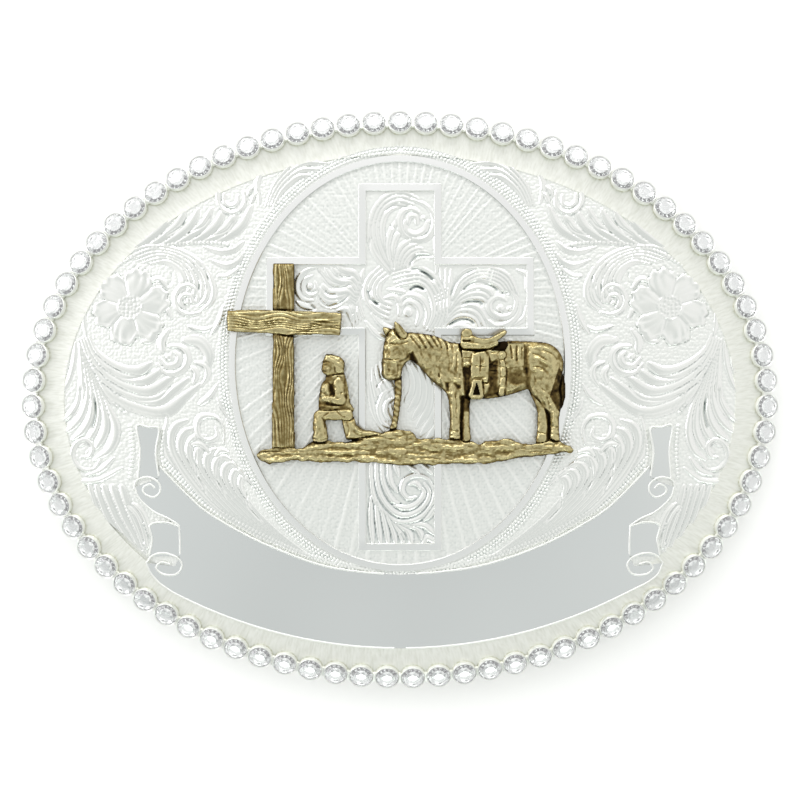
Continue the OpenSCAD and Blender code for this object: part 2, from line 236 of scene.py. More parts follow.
# %% Brass with patina in its recesses
brass, tree, shader = material("antiqued_brass")
where = add(tree, "TexCoord").outputs["Object"]
recess = add(tree, "Attribute", attribute_name="recess").outputs["Fac"]
speck = add(tree, "TexNoise", {"Scale": per_mm(0.7), "Detail": 5.0, "Roughness": 0.7},
            {"Vector": where}).outputs["Fac"]
broken = add(tree, "Math", {1: 1.0}, {0: speck}, operation="MULTIPLY_ADD")
tree.links.new(recess, broken.inputs[2])
spread = add(tree, "MapRange", {"From Min": 0.5, "From Max": 1.4}, {"Value": broken.outputs[0]})
rubbed = add(tree, "ValToRGB", None, {"Fac": spread.outputs["Result"]})
tones = rubbed.color_ramp.elements
tones[0].color = paint("#cbbf90")
tones[1].color = paint("#2c2214")
for place, code in ((0.32, "#8a7a4e"), (0.68, "#5f4e2b")):
    tones.new(place).color = paint(code)
rough = add(tree, "MapRange", {"To Min": 0.27, "To Max": 0.62}, {"Value": spread.outputs["Result"]})
bump = add(tree, "Bump", {"Distance": 0.03 * MM, "Strength": 0.35}, {"Height": speck})
shader.inputs["Metallic"].default_value = 1.0
tree.links.new(rubbed.outputs["Color"], shader.inputs["Base Color"])
tree.links.new(rough.outputs["Result"], shader.inputs["Roughness"])
tree.links.new(bump.outputs["Normal"], shader.inputs["Normal"])

# %% [markdown]
# ## Crystal
# The stones are lead-free crystal glass, ground flat and polished, so they are as clear and
# smooth as glass gets. A quarter of the light is scattered and not let through. It stands for
# the many reflections inside a real stone, which blur into white at this size.

# %% Cut crystal
crystal, tree, shader = material("cut_crystal")
shader.inputs["Base Color"].default_value = paint("#ffffff")
shader.inputs["Roughness"].default_value = 0.0
shader.inputs["IOR"].default_value = 1.56
shader.inputs["Transmission Weight"].default_value = 0.76

# %% [markdown]
# ## Shadowed foil
# Seen through the crown, some back facets of a stone mirror a dark part of the room. A few
# faces of the foil are dark grey for that and give each stone its dark specks.

# %% Dark foil
shadow_foil, tree, shader = material("shadowed_foil")
shader.inputs["Base Color"].default_value = paint("#45454c")
shader.inputs["Metallic"].default_value = 1.0
shader.inputs["Roughness"].default_value = 0.3

# %% [markdown]
# ## Satin nickel
# The loop and the post on the back are steel wire under satin nickel, drawn and tumbled, which
# leaves a soft even sheen.

# %% Satin nickel wire
nickel, tree, shader = material("satin_nickel")
where = add(tree, "TexCoord").outputs["Object"]
tumble = add(tree, "TexNoise", {"Scale": per_mm(0.8), "Detail": 4.0},
             {"Vector": where}).outputs["Fac"]
rough = add(tree, "MapRange", {"To Min": 0.24, "To Max": 0.38}, {"Value": tumble})
shader.inputs["Base Color"].default_value = paint("#cfccc6")
shader.inputs["Metallic"].default_value = 1.0
tree.links.new(rough.outputs["Result"], shader.inputs["Roughness"])
print("materials", [m.name for m in bpy.data.materials])

# %% [markdown]
# ## Closed pieces
# Every piece is written as one closed mesh. The relief pieces are sheets of heights on a fine
# grid, thickened down into the plate: their top follows the heights, their walls drop round the
# edge, and their bottom is a coarse net that follows the dome.

# %% Writing a mesh
NOISE = 256  # random values along a side of the tables that the noise is read from


def piece(name, verts, faces, node, finish, sharp, marks=None, others=None, turn=True):
    """Writes a mesh given in millimetres and hands it to the frame. The faces listed in others
    are flat and take the second finish, the third and so on."""
    mesh = bpy.data.meshes.new(name)
    mesh.from_pydata((np.asarray(verts, float) * MM).tolist(), [], faces)
    for one in finish if isinstance(finish, (list, tuple)) else [finish]:
        mesh.materials.append(one)
    for label, values in (marks or {}).items():
        layer = mesh.attributes.new(label, "FLOAT", "POINT")
        layer.data.foreach_set("value", np.asarray(values, np.float32))
    mesh.shade_smooth()
    mesh.set_sharp_from_angle(angle=math.radians(sharp))
    for index, group in enumerate(others or [], 1):
        for k in group:
            mesh.polygons[k].use_smooth = False
            mesh.polygons[k].material_index = index
    if turn:
        turned = bmesh.new()
        turned.from_mesh(mesh)
        bmesh.ops.recalc_face_normals(turned, faces=turned.faces)
        turned.to_mesh(mesh)
        turned.free()
    made = bpy.data.objects.new(name, mesh)
    bpy.context.collection.objects.link(made)
    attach(made, "root")
    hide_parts(node)
    mesh.calc_loop_triangles()
    print(name, len(mesh.vertices), "points,", len(mesh.loop_triangles), "triangles")


def smooth_line(points, count=24):
    """A smooth line through the points, with any further columns carried along it."""
    p = np.asarray(points, float)
    q = np.vstack([2 * p[0] - p[1], p, 2 * p[-1] - p[-2]])
    t = np.linspace(0, len(p) - 1 - 1e-9, count)
    i = t.astype(int)
    f = (t - i)[:, None]
    a, b, c, d = q[i], q[i + 1], q[i + 2], q[i + 3]
    return 0.5 * (2 * b + (c - a) * f + (2 * a - 5 * b + 4 * c - d) * f ** 2
                  + (3 * b - a - 3 * c + d) * f ** 3)


def edge_distance(x, y, corners):
    """Distance to a closed outline, negative inside it."""
    inside = np.zeros(np.shape(x), bool)
    nearest = np.full(np.shape(x), 1e9)
    for (ax, ay), (bx, by) in zip(corners, np.roll(corners, -1, axis=0)):
        dx, dy = bx - ax, by - ay
        t = np.clip(((x - ax) * dx + (y - ay) * dy) / (dx * dx + dy * dy + 1e-12), 0, 1)
        nearest = np.minimum(nearest, np.hypot(x - ax - t * dx, y - ay - t * dy))
        if ay != by:
            inside ^= ((ay > y) != (by > y)) & (x < dx * (y - ay) / dy + ax)
    return np.where(inside, -nearest, nearest)


def cloud(x, y, size, seed, stretch=1.0):
    """Smooth random values from -1 to 1 in lumps of that size, longer along y by stretch."""
    table = np.random.default_rng(seed).uniform(-1, 1, (NOISE, NOISE))
    u, v = x / size + NOISE // 2, y / (size * stretch) + NOISE // 2
    i, j = np.floor(u).astype(int), np.floor(v).astype(int)
    fu, fv = ease(u - i), ease(v - j)
    low, high = (table[row % NOISE, i % NOISE] * (1 - fu)
                 + table[row % NOISE, (i + 1) % NOISE] * fu for row in (j, j + 1))
    return low * (1 - fv) + high * fv


def bumps(sheet, pitch, seed, narrow):
    """Round bumps of height 1 scattered over a sheet, narrower as the last number grows."""
    shift = np.random.default_rng(seed).uniform(0.15, 0.85, (2, NOISE, NOISE))
    u, v = sheet.X / pitch + 2 * NOISE, sheet.Y / pitch + 2 * NOISE
    i, j = np.floor(u).astype(int), np.floor(v).astype(int)
    nearest = np.full(u.shape, 9.0)
    for di in (-1, 0, 1):
        for dj in (-1, 0, 1):
            px = i + di + shift[0, (j + dj) % NOISE, (i + di) % NOISE]
            py = j + dj + shift[1, (j + dj) % NOISE, (i + di) % NOISE]
            nearest = np.minimum(nearest, np.hypot(u - px, v - py))
    return np.maximum(0, 1 - nearest ** 2 * narrow)


# %% [markdown]
# ## The relief sheet
# An engraver draws a leaf as one sweep: thin at its root, full beyond its middle and rounded
# at its tip, with its crest near one side so that the light falls off across it, and a fine
# vein beside the crest. A sheet draws that way too. For every grid point near a line it finds how
# far along and how far off the line it lies, and sets the height from those two numbers. A later
# leaf lies over an earlier one.

# %% A sheet of heights


class Sheet:
    """Heights, polish and painted shade values on a grid over a box of the face."""

    def __init__(self, box, step):
        x0, y0, x1, y1 = box
        self.step = step
        self.x = np.arange(x0, x1 + step, step)
        self.y = np.arange(y0, y1 + step, step)
        self.X, self.Y = np.meshgrid(self.x, self.y)
        self.h = np.zeros_like(self.X)
        self.polish = np.zeros_like(self.X)
        self.painted_shade = np.zeros_like(self.X)

    def along(self, line, reach):
        """The window near a line, with each point's distance, side and place along it."""
        i0, i1 = np.searchsorted(self.x, (line[:, 0].min() - reach, line[:, 0].max() + reach))
        j0, j1 = np.searchsorted(self.y, (line[:, 1].min() - reach, line[:, 1].max() + reach))
        window = (slice(j0, j1), slice(i0, i1))
        x, y = self.X[window], self.Y[window]
        off = np.full(x.shape, 1e9)
        side = np.zeros(x.shape)
        place = np.zeros(x.shape)
        last = len(line) - 1
        for k in range(last):
            ax, ay = line[k, :2]
            dx, dy = line[k + 1, :2] - line[k, :2]
            t = np.clip(((x - ax) * dx + (y - ay) * dy) / (dx * dx + dy * dy + 1e-12), 0, 1)
            ex, ey = x - ax - t * dx, y - ay - t * dy
            d = np.hypot(ex, ey)
            near = d < off
            off = np.where(near, d, off)
            side = np.where(near, np.sign(dx * ey - dy * ex), side)
            place = np.where(near, (k + t) / last, place)
        return window, off, side, place

    def leaf(self, line, width, lift=LEAF_H, root=0.3, tip=0.3, crest=-0.3):
        """Draws one leaf of that half width along a line."""
        window, off, side, place = self.along(line, width + 0.4)
        grow = root + (1 - root) * np.sin(np.pi / 2 * np.minimum(place / 0.5, 1))
        close = np.sqrt(1 - (np.maximum(place - 0.6, 0) / 0.4) ** 2 * (1 - tip * tip))
        half = width * grow * close
        v = side * off / half
        vein = 0.12 * np.exp(-((v - 0.45) * half / 0.13) ** 2) * (place > 0.08)
        crown = (1 - v * v) * (0.8 + crest * v) - vein
        new = lift * (0.3 + 0.7 * grow * close) * np.maximum(crown, 0) + 0.02
        h = self.h[window]
        groove = 0.05 * np.exp(-(np.maximum(off - half, 0) / 0.16) ** 2)
        self.h[window] = np.where(off < half, new, h - groove * (h > -0.03))
        self.polish[window] = np.where(off < half, 1.0, self.polish[window])

    def bundle(self, first, last, count, width, **leaf):
        """Draws strands that change from one drawn line to another with as many points."""
        first, last = np.asarray(first, float), np.asarray(last, float)
        for k in range(count):
            row = first + (last - first) * k / max(1, count - 1)
            self.leaf(smooth_line(paper(row), 26), width * UNIT, **leaf)

    def strands(self, rows, width, **leaf):
        """Draws one leaf along each row of points."""
        for row in rows:
            self.leaf(smooth_line(paper(row), 26), width * UNIT, **leaf)

    def shadow(self, rows, width, depth):
        """Cuts the deep crescents where one leaf dives under another."""
        for row in rows:
            self.line(row, width, -depth)

    def button(self, centre, radius):
        """Draws one round bead."""
        at = np.vstack([paper(centre), paper(centre) + 1e-3])
        window, off, _, _ = self.along(at, radius * UNIT + 0.3)
        v = np.minimum(off / (radius * UNIT), 1)
        bead = LEAF_H * np.sqrt(1 - v * v) + 0.02
        self.h[window] = np.where(v < 1, bead, self.h[window])
        self.polish[window] = np.where(v < 1, 1.0, self.polish[window])

    def line(self, points, width, height):
        """Raises a soft line, or cuts a groove where height is below zero."""
        path = smooth_line(paper(points), 16)
        window, off, _, place = self.along(path, width * UNIT * 3)
        fade = np.minimum(1, np.minimum(place, 1 - place) * 8 + 0.25)
        self.h[window] += height * fade * np.exp(-(off / (width * UNIT)) ** 2)

    def mirrored(self):
        """The same sheet on the other side of the buckle's middle."""
        twin = Sheet.__new__(Sheet)
        twin.step = self.step
        twin.X, twin.Y = -self.X[:, ::-1], self.Y[:, ::-1]
        twin.h, twin.polish, twin.painted_shade = (a[:, ::-1] for a in (self.h, self.polish, self.painted_shade))
        return twin


def blurred(sheet, inside, size):
    """The sheet's heights averaged over about that size in mm, counting only the piece."""
    reach = int(3 * size / sheet.step)
    kernel = np.exp(-0.5 * (np.arange(-reach, reach + 1) * sheet.step / size) ** 2)
    kernel /= kernel.sum()

    def both(a):
        a = np.apply_along_axis(np.convolve, 0, a, kernel, mode="same")
        return np.apply_along_axis(np.convolve, 1, a, kernel, mode="same")

    return both(sheet.h * inside) / np.maximum(both(inside.astype(float)), 1e-3)


def hollows(sheet, inside, fine, wide):
    """How deep each point lies below its surroundings, near by and further off."""
    near = (blurred(sheet, inside, 0.2) - sheet.h) / fine
    return near + (blurred(sheet, inside, 0.6) - sheet.h) / wide


# %% [markdown]
# The grid's cells that lie in the piece become the top faces. Where only two cells meet at a
# corner the solid would pinch, so such corners are cleared first. The edge's steps are evened
# out along the edge, and a Delaunay net with a 3 mm spacing closes the bottom.

# %% From sheet to solid
NET_SPACING = 3.0


def within(net, wires):
    """The triangles of a Delaunay net that lie left of its wires, in the wires' own numbers."""
    faces, origins = net[2:4]
    given = {o: k for k, one in enumerate(origins) for o in one}
    own = [one[0] for one in origins]
    wire = {(given[a], given[b]) for a, b in wires}
    owner = {}
    for k, face in enumerate(faces):
        for a, b in zip(face, face[1:] + face[:1]):
            owner[a, b] = k
    inside = {owner[one] for one in wire if one in owner}
    queue = list(inside)
    while queue:
        face = faces[queue.pop()]
        for a, b in zip(face, face[1:] + face[:1]):
            beside = owner.get((b, a))
            crossed = (a, b) in wire or (b, a) in wire
            if beside is not None and beside not in inside and not crossed:
                inside.add(beside)
                queue.append(beside)
    return [[own[v] for v in faces[k]] for k in sorted(inside)]


def solid(name, sheet, keep, bottom, node, finish, marks, even=3, sharp=48):
    """A closed piece from the cells of the sheet whose corners are all kept."""
    cells = keep[:-1, :-1] & keep[1:, :-1] & keep[:-1, 1:] & keep[1:, 1:]
    for _ in range(4):
        a, b, c, d = cells[:-1, :-1], cells[:-1, 1:], cells[1:, :-1], cells[1:, 1:]
        pinch = (a & d & ~b & ~c) | (b & c & ~a & ~d)
        a[pinch], b[pinch], c[pinch], d[pinch] = False, False, False, False
    j, i = np.nonzero(cells)
    width = sheet.X.shape[1]
    first = j * width + i
    corners = np.stack([first, first + 1, first + width + 1, first + width], 1)
    used, quads = np.unique(corners, return_inverse=True)
    quads = quads.reshape(-1, 4)
    x, y, h = sheet.X.ravel()[used].copy(), sheet.Y.ravel()[used].copy(), sheet.h.ravel()[used]
    sides = np.concatenate([quads[:, [k, (k + 1) % 4]] for k in range(4)])
    code = sides[:, 0] * len(used) + sides[:, 1]
    back = sides[:, 1] * len(used) + sides[:, 0]
    edge = sides[~np.isin(code, back)]
    following = dict(edge.tolist())
    start = np.array(sorted(following))
    after = np.array([following[k] for k in start.tolist()])
    before = np.zeros(len(used), int)
    before[after] = start
    for _ in range(even):
        x[start], y[start] = ((2 * v[start] + v[after] + v[before[start]]) / 4 for v in (x, y))
    every = max(1, int(NET_SPACING / sheet.step))
    full = np.zeros_like(keep)
    full[1:-1, 1:-1] = cells[:-1, :-1] & cells[1:, :-1] & cells[:-1, 1:] & cells[1:, 1:]
    spaced = np.zeros_like(keep)
    spaced[::every, ::every] = full[::every, ::every]
    inner = np.nonzero(np.isin(used, np.nonzero(spaced.ravel())[0]))[0]
    flat = np.concatenate([start, inner])
    place = {v: k for k, v in enumerate(start.tolist())}
    wires = [(place[a], place[b]) for a, b in edge.tolist()]
    net = delaunay_2d_cdt([Vector((x[v], y[v])) for v in flat.tolist()], wires, [], 0, 1e-6)
    under = [[len(used) + k for k in reversed(face)] for face in within(net, wires)]
    top, low = on_dome(x, y, h), on_dome(x[flat], y[flat], bottom)
    walls = [[a, len(used) + place[a], len(used) + place[b], b] for a, b in edge.tolist()]
    values = {label: np.concatenate([value.ravel()[used], np.full(len(low), rest)])
              for label, (value, rest) in marks.items()}
    piece(name, np.vstack([top, low]), quads.tolist() + walls + under, node, finish, sharp,
          values, turn=False)


print("relief tools ready")

# %% [markdown]
# ## Outlines that the pieces share
# The cross, the oval and the banner are cut with hard edges, so they are outlines first. The
# grids beside them run a little way under their borders, which hides the grid's edges.

# %% Cross, oval and banner outlines
cross = np.array([
    (CROSS_A, CROSS_FOOT), (CROSS_A, ARM_FOOT), (ARM_A, ARM_FOOT), (ARM_A, ARM_TOP),
    (CROSS_A, ARM_TOP), (CROSS_A, CROSS_TOP), (-CROSS_A, CROSS_TOP), (-CROSS_A, ARM_TOP),
    (-ARM_A, ARM_TOP), (-ARM_A, ARM_FOOT), (-CROSS_A, ARM_FOOT), (-CROSS_A, CROSS_FOOT)])


def oval(grow, count):
    """Points of the oval frame's outer edge, grown outward."""
    t = np.linspace(0, 2 * np.pi, count, endpoint=False)
    return np.column_stack([(OVAL_A + grow) * np.cos(t), OVAL_Y + (OVAL_B + grow) * np.sin(t)])


def in_oval(x, y, grow=0.0):
    """True inside the oval frame's outer edge grown outward."""
    return (x / (OVAL_A + grow)) ** 2 + ((y - OVAL_Y) / (OVAL_B + grow)) ** 2 < 1


def lean(x, y):
    """How far a point near the banner's left end moves toward the middle, fading to nothing at
    the border, at the oval and above and below the banner."""
    from_oval = 25 * (np.hypot(x / OVAL_A, (y - OVAL_Y) / OVAL_B) - 1)
    return (BANNER_LEAN * ease((x + 42) / 4.4) * ease(from_oval / 4.5)
            * ease((0.7 - y) / 4.2) * ease((y + 27) / 2.8))


def to_left(points):
    """The left-hand twin of points of the right half."""
    x, y = -points[:, 0], points[:, 1]
    return np.column_stack([x + lean(x, y), y])


banner_top = smooth_line(paper([
    (400, 574), (440, 571), (480, 565), (520, 553), (560, 536), (600, 513), (620, 496),
    (638, 478), (649, 466)]), 40)
banner_end = smooth_line(paper([(674, 487), (670, 498), (656, 511), (641, 518), (630, 525)]), 16)
banner_side = paper([(629, 540), (629, 556), (634, 566), (662, 563), (658, 574), (648, 582),
                     (636, 588)])
low_x = np.linspace(30.6, 0, 40)
banner_low = np.column_stack([low_x, BANNER_LOW_Y - np.sqrt(BANNER_LOW_R ** 2 - low_x ** 2)])
right_half = np.vstack([banner_top, paper([(650, 478)]), banner_end, banner_side, banner_low])
banner = np.vstack([right_half, to_left(right_half[-2:0:-1])])[::-1]
upper_fold = paper([(650, 429), (661, 427), (672, 426), (669.5, 450), (671, 478), (650, 478),
                    (653, 452)])
lower_fold = paper([(626, 527), (644, 522), (659, 525), (657, 540), (660, 556), (626, 556)])
print("banner outline of", len(banner), "points")

# %% [markdown]
# ## The scrollwork
# Western bright-cut scrollwork grows from curls, and its leaves fan out of a stem side by side.
# Each bundle here is a row of strands that change from one drawn line to another. The right
# half is drawn, and the left half mirrors it, but leans inward round the banner's left end, which
# lies 1.3 mm nearer the middle on the real plate. The ground between the leaves is punched with
# fine dots, coarser here than the real 0.2 mm so that they show.

# %% Right half of the field, above and left of the flower
field = Sheet((-0.06, -34.6, 47.2, 35.2), 0.118)
field.h = 0.075 * bumps(field, 0.44, 3, 3.2) - 0.03
field.bundle([(534, 206), (524, 184), (506, 165), (488, 157), (464, 158)],
             [(526, 206), (518, 192), (508, 182), (500, 177), (490, 176)], 4, 3.4)
field.strands([[(520, 164), (536, 170), (543, 184), (540, 204)],
               [(532, 163), (548, 168), (560, 176)]], 3.2)
field.bundle([(640, 242), (600, 240), (574, 236), (558, 226), (548, 206)],
             [(694, 263), (680, 251), (664, 238), (650, 226), (641, 212)], 8, 5.2, root=0.2)
field.shadow([[(567, 222), (574, 231), (590, 237)], [(590, 217), (598, 227), (614, 234)],
              [(612, 217), (620, 227), (634, 236)]], 1.1, 0.13)
field.strands([[(596, 247), (580, 252), (566, 250), (556, 242)],
               [(590, 260), (574, 266), (562, 262), (556, 254)]], 3.6)
field.strands([[(545, 186), (550, 190), (553, 197)], [(541, 192), (546, 196), (549, 204)]], 2.6)
field.strands([[(556, 192), (555, 202), (560, 210), (568, 213), (577, 209), (582, 199), (580, 188),
                (572, 182)], [(562, 196), (563, 203), (569, 206), (575, 202), (576, 194)]], 3.0,
              root=0.5, tip=0.6)
field.bundle([(680, 256), (652, 247), (624, 251), (601, 264), (588, 284), (588, 300), (597, 310)],
             [(650, 264), (634, 262), (623, 268), (617, 277), (616, 285), (619, 291), (622, 293)],
             6, 4.4, root=0.25)
field.strands([[(602, 302), (602, 292), (610, 285), (620, 288), (625, 298), (622, 309), (612, 315),
                (600, 313)], [(607, 303), (609, 296), (616, 295), (620, 301), (616, 308)]], 3.0,
              root=0.6, tip=0.6)
field.button((613, 303), 2.4)
field.strands([[(632, 288), (640, 279), (652, 282)], [(584, 326), (596, 330), (612, 326)],
               [(576, 306), (580, 320), (588, 334)], [(628, 318), (634, 308), (646, 305)],
               [(560, 268), (572, 276), (582, 276)]], 3.0, root=0.5)
field.shadow([[(628, 272), (628, 280), (632, 286)], [(598, 262), (592, 276), (592, 292)],
              [(606, 266), (600, 280), (602, 294)]], 1.3, 0.13)
print("leaves above the flower reach", round(float(field.h.max()), 2), "mm")

# %% [markdown]
# Below the flower a stem turns round in a broad curl. Long leaves run down beside the border,
# and a wide bundle swings up above the banner.

# %% Right half of the field, below the flower
field.strands([[(592, 368), (591, 354), (600, 342), (615, 340)]], 6.4, root=0.5, tip=0.5)
field.strands([[(631, 330), (638, 340), (637, 353)], [(642, 326), (648, 338), (658, 342)],
               [(652, 330), (664, 334), (676, 330)]], 4.4, root=0.4)
field.bundle([(712, 334), (706, 351), (692, 364), (676, 371), (661, 371), (648, 363)],
             [(722, 340), (714, 368), (698, 390), (670, 407), (638, 411), (598, 384)], 5, 6.4,
             root=0.2)
field.shadow([[(646, 368), (658, 377), (676, 378), (692, 370)],
              [(626, 383), (640, 398), (662, 400), (686, 392)]], 1.2, 0.13)
field.strands([[(598, 386), (592, 376), (594, 366), (604, 362)],
               [(606, 384), (603, 374), (608, 366)], [(582, 384), (590, 396), (603, 405)]], 3.4,
              root=0.3)
field.strands([[(642, 364), (634, 373), (622, 373), (613, 365), (612, 354), (619, 347), (630, 346)],
               [(640, 358), (633, 366), (624, 365), (620, 358), (624, 352)]], 3.6, root=0.4,
              tip=0.5)
field.button((631, 357), 3.6)
field.bundle([(712, 364), (702, 388), (693, 410), (689, 432), (694, 450), (706, 460)],
             [(721, 344), (719, 372), (719, 394), (726, 410), (736, 420), (744, 426)], 6, 4.2,
             root=0.3)
field.shadow([[(719, 386), (720, 402), (728, 416), (737, 424)],
              [(707, 396), (704, 412), (708, 430)]], 1.6, 0.26)
field.strands([[(725, 342), (727, 362), (732, 380), (740, 394)],
               [(732, 352), (735, 368), (740, 380)],
               [(706, 286), (715, 300), (717, 320), (714, 336)],
               [(722, 296), (726, 314), (726, 336)]], 3.0, lift=0.14)
field.strands([[(700, 460), (708, 470), (720, 468), (728, 458), (726, 446), (716, 440), (708, 446),
                (711, 456), (719, 457)], [(690, 458), (700, 470), (714, 475)],
               [(684, 468), (702, 480), (724, 480), (740, 466)]], 3.2, root=0.4)
field.bundle([(662, 558), (669, 540), (676, 522), (681, 502), (684, 486)],
             [(676, 572), (694, 552), (710, 526), (719, 502), (724, 486)], 7, 4.3, root=0.25,
             tip=0.5, lift=0.25)
field.strands([[(662, 548), (666, 530), (672, 515), (680, 505)],
               [(658, 540), (662, 524), (668, 511), (676, 503)],
               [(652, 604), (664, 584), (670, 566)], [(640, 604), (652, 590), (662, 572)]], 3.4,
              root=0.4)
field.bundle([(488, 558), (521, 537), (547, 517), (564, 498), (567, 483), (559, 476), (549, 484)],
             [(548, 540), (593, 508), (618, 481), (634, 457), (638, 439), (633, 426), (620, 420)],
             9, 4.8, root=0.2)
field.shadow([[(560, 492), (560, 506), (546, 522)], [(588, 456), (592, 476), (584, 496)],
              [(612, 450), (612, 472), (602, 494)]], 1.1, 0.12)
field.strands([[(584, 444), (582, 428), (590, 417), (604, 416), (612, 424), (610, 436), (600, 441),
                (591, 436), (593, 427)], [(600, 452), (608, 444), (618, 444)],
               [(578, 452), (588, 450), (594, 456)]], 3.4, root=0.4)
field.strands([[(640, 416), (644, 432), (643, 452), (632, 470)],
               [(556, 414), (566, 406), (572, 392)], [(566, 424), (576, 412), (582, 398)]], 2.8,
              lift=0.16)
print("share of the sheet under leaves", round(float(field.polish.mean()), 2))

# %% [markdown]
# The flower has six broad petals with a nick at each tip and a crumpled edge, round a centre of
# small beads. It is drawn from the angle and the distance about its middle.

# %% Flower, beads and accents
FLOWER_R, HEART_R = 5.6, 1.7
flower_x, flower_y = paper((669, 307))[0]
dx, dy = field.X - flower_x, field.Y - flower_y
distance, angle = np.hypot(dx, dy), np.arctan2(dy, dx)
petal = np.abs(np.cos(3 * (angle + 0.25)))
nick = 0.06 * np.exp(-((petal - 1) / 0.03) ** 2)
reach = FLOWER_R * (0.66 + 0.34 * petal ** 0.6 - nick + 0.025 * np.sin(angle * 23))
spread = np.clip(distance / reach, 0, 1)
crumple = 0.05 * np.sin(angle * 17 + 2.5 * np.sin(angle * 4 + distance)) * spread ** 2
bowl = 0.05 + 0.17 * np.sin(np.pi * spread ** 0.8) * (0.55 + 0.45 * petal) + crumple
bowl = bowl - 0.09 * np.exp(-(petal * distance / 0.5) ** 2)
bowl = bowl + 0.1 * np.exp(-((spread - 0.92) / 0.07) ** 2)
inside = distance < reach
groove = 0.07 * np.exp(-(np.maximum(distance - reach, 0) / 0.14) ** 2)
field.h = np.where(inside, np.maximum(bowl, 0.02), field.h - groove)
field.polish[inside] = 0.85
heart = distance < HEART_R
field.h[heart] = (0.12 + 0.09 * bumps(field, 0.5, 8, 3))[heart]
field.line([(669, 295), (660, 300), (658, 309), (664, 318), (674, 319), (681, 311), (680, 301),
            (669, 295)], 1.1, 0.07)

OVAL_BEADS = 165  # in each row round half of the oval, which keeps the three rows in step
BEAD_PITCH, BEAD_R, BEAD_H = 0.55, 0.27, 0.18


def bead_row(sheet, path, pitch, radius, lift, start=0.5):
    """Raises a row of small beads along a path, the first one so many pitches from its end."""
    steps = np.r_[0, np.cumsum(np.hypot(*np.diff(path, axis=0).T))]
    for s in np.arange(start * pitch, steps[-1], pitch):
        cx, cy = np.interp(s, steps, path[:, 0]), np.interp(s, steps, path[:, 1])
        i = slice(*np.searchsorted(sheet.x, (cx - 1.4 * radius, cx + 1.4 * radius)))
        j = slice(*np.searchsorted(sheet.y, (cy - 1.4 * radius, cy + 1.4 * radius)))
        off = np.hypot(sheet.X[j, i] - cx, sheet.Y[j, i] - cy) / radius
        sheet.h[j, i] = np.maximum(sheet.h[j, i], lift * np.sqrt(np.maximum(0, 1 - off * off)))
        # A ring of painted shade round the foot of each bead, and none on its top.
        sheet.painted_shade[j, i] = np.where(off < 0.7, 0,
                                     np.maximum(sheet.painted_shade[j, i], 0.2 * (off < 1.35)))


for grow, start, lift in ((0.36, 0.5, 0.19), (0.8, 1.0, 0.19), (1.24, 0.5, 0.15)):
    ring = oval(grow, 720)
    half_way = np.vstack([ring[540:], ring[:181]])
    length = np.hypot(*np.diff(half_way, axis=0).T).sum()
    bead_row(field, half_way, length / OVAL_BEADS, 0.22, lift, start)
for away in (0.62, 1.1):
    bead_row(field, banner_top + (-0.67 * away, 0.74 * away), 0.52, 0.24, 0.17)
for count, row in ((30, [(644, 428), (647, 452), (644, 474)]),
                   (30, [(678, 424), (676, 450), (678, 478)]),
                   (30, [(666, 522), (664, 540), (667, 556)]),
                   (40, [(566, 246), (586, 243), (626, 244), (656, 251), (694, 272)]),
                   (40, [(678, 414), (696, 388), (712, 356)]),
                   (40, [(672, 410), (690, 384), (706, 354)])):
    bead_row(field, smooth_line(paper(row), count), BEAD_PITCH, BEAD_R, BEAD_H)

border_side = (field.X / FIELD_A) ** 2 + (field.Y / FIELD_B) ** 2 > 1
field.h += 0.13 * (border_side & in_oval(field.X, field.Y, 1.3))
keep = (field.X / (FIELD_A + 0.3)) ** 2 + (field.Y / (FIELD_B + 0.3)) ** 2 < 1
keep |= in_oval(field.X, field.Y, 1.25)
keep &= ~in_oval(field.X, field.Y, -0.5)
for outline in (banner, upper_fold, lower_fold):
    keep &= edge_distance(field.X, field.Y, outline) > -0.35
low_arc = BANNER_LOW_Y - np.sqrt(BANNER_LOW_R ** 2 - field.X ** 2)
keep &= ~((field.Y < low_arc + 1) & (field.X < 26))
twin, twin_keep = field.mirrored(), keep[:, ::-1]
twin.X = twin.X + lean(twin.X, twin.Y)
for name, sheet, kept in (("scroll_field_right", field, keep),
                          ("scroll_field_left", twin, twin_keep)):
    dark = np.clip(hollows(sheet, kept, 0.26, 1.3) + sheet.painted_shade, 0, 1)
    solid(name, sheet, kept, RELIEF_BOTTOM, "engraved_plate", silver,
          {"polish": (sheet.polish, 0.0), "hollow": (dark, 0.3)})

# %% [markdown]
# ## The ground of the oval
# A hundred rays run out from the crossing of the cross. Each is a narrow ridge, and some stand
# out more than others. The ground was blasted after it was cut, so it is rough all over.

# %% Sunburst ground
ground = Sheet((-24.0, -24.2, 24.0, 34.2), 0.132)
ray_x, ray_y = paper((400, 297))[0]
turn = np.arctan2(ground.Y - ray_y, ground.X - ray_x)
outward = np.hypot(ground.X - ray_x, ground.Y - ray_y)
RAYS = 100
ray = np.rint(turn * RAYS / (2 * np.pi)).astype(int) % RAYS
bold = np.random.default_rng(9).uniform(0.25, 1, RAYS)[ray] * np.clip(outward / 8, 0.2, 1)
crest = bold * np.abs(np.cos(RAYS / 2 * turn)) ** 14
ground.h = 0.075 * crest + 0.022 * cloud(ground.X, ground.Y, 0.27, 5)
ground.h += 0.03 * bumps(ground, 0.4, 6, 3)
keep = in_oval(ground.X, ground.Y, -0.5) & (edge_distance(ground.X, ground.Y, cross) > -0.4)
# The paint is lighter on each ray's crest, a painted highlight, and darker in the hollows between.
dark = np.clip(0.22 - 0.2 * crest + hollows(ground, keep, 0.16, 0.9), 0, 1)
solid("oval_ground", ground, keep, RELIEF_BOTTOM, "engraved_plate", silver,
      {"polish": (0 * ground.h, 0.0), "hollow": (dark, 0.3)})

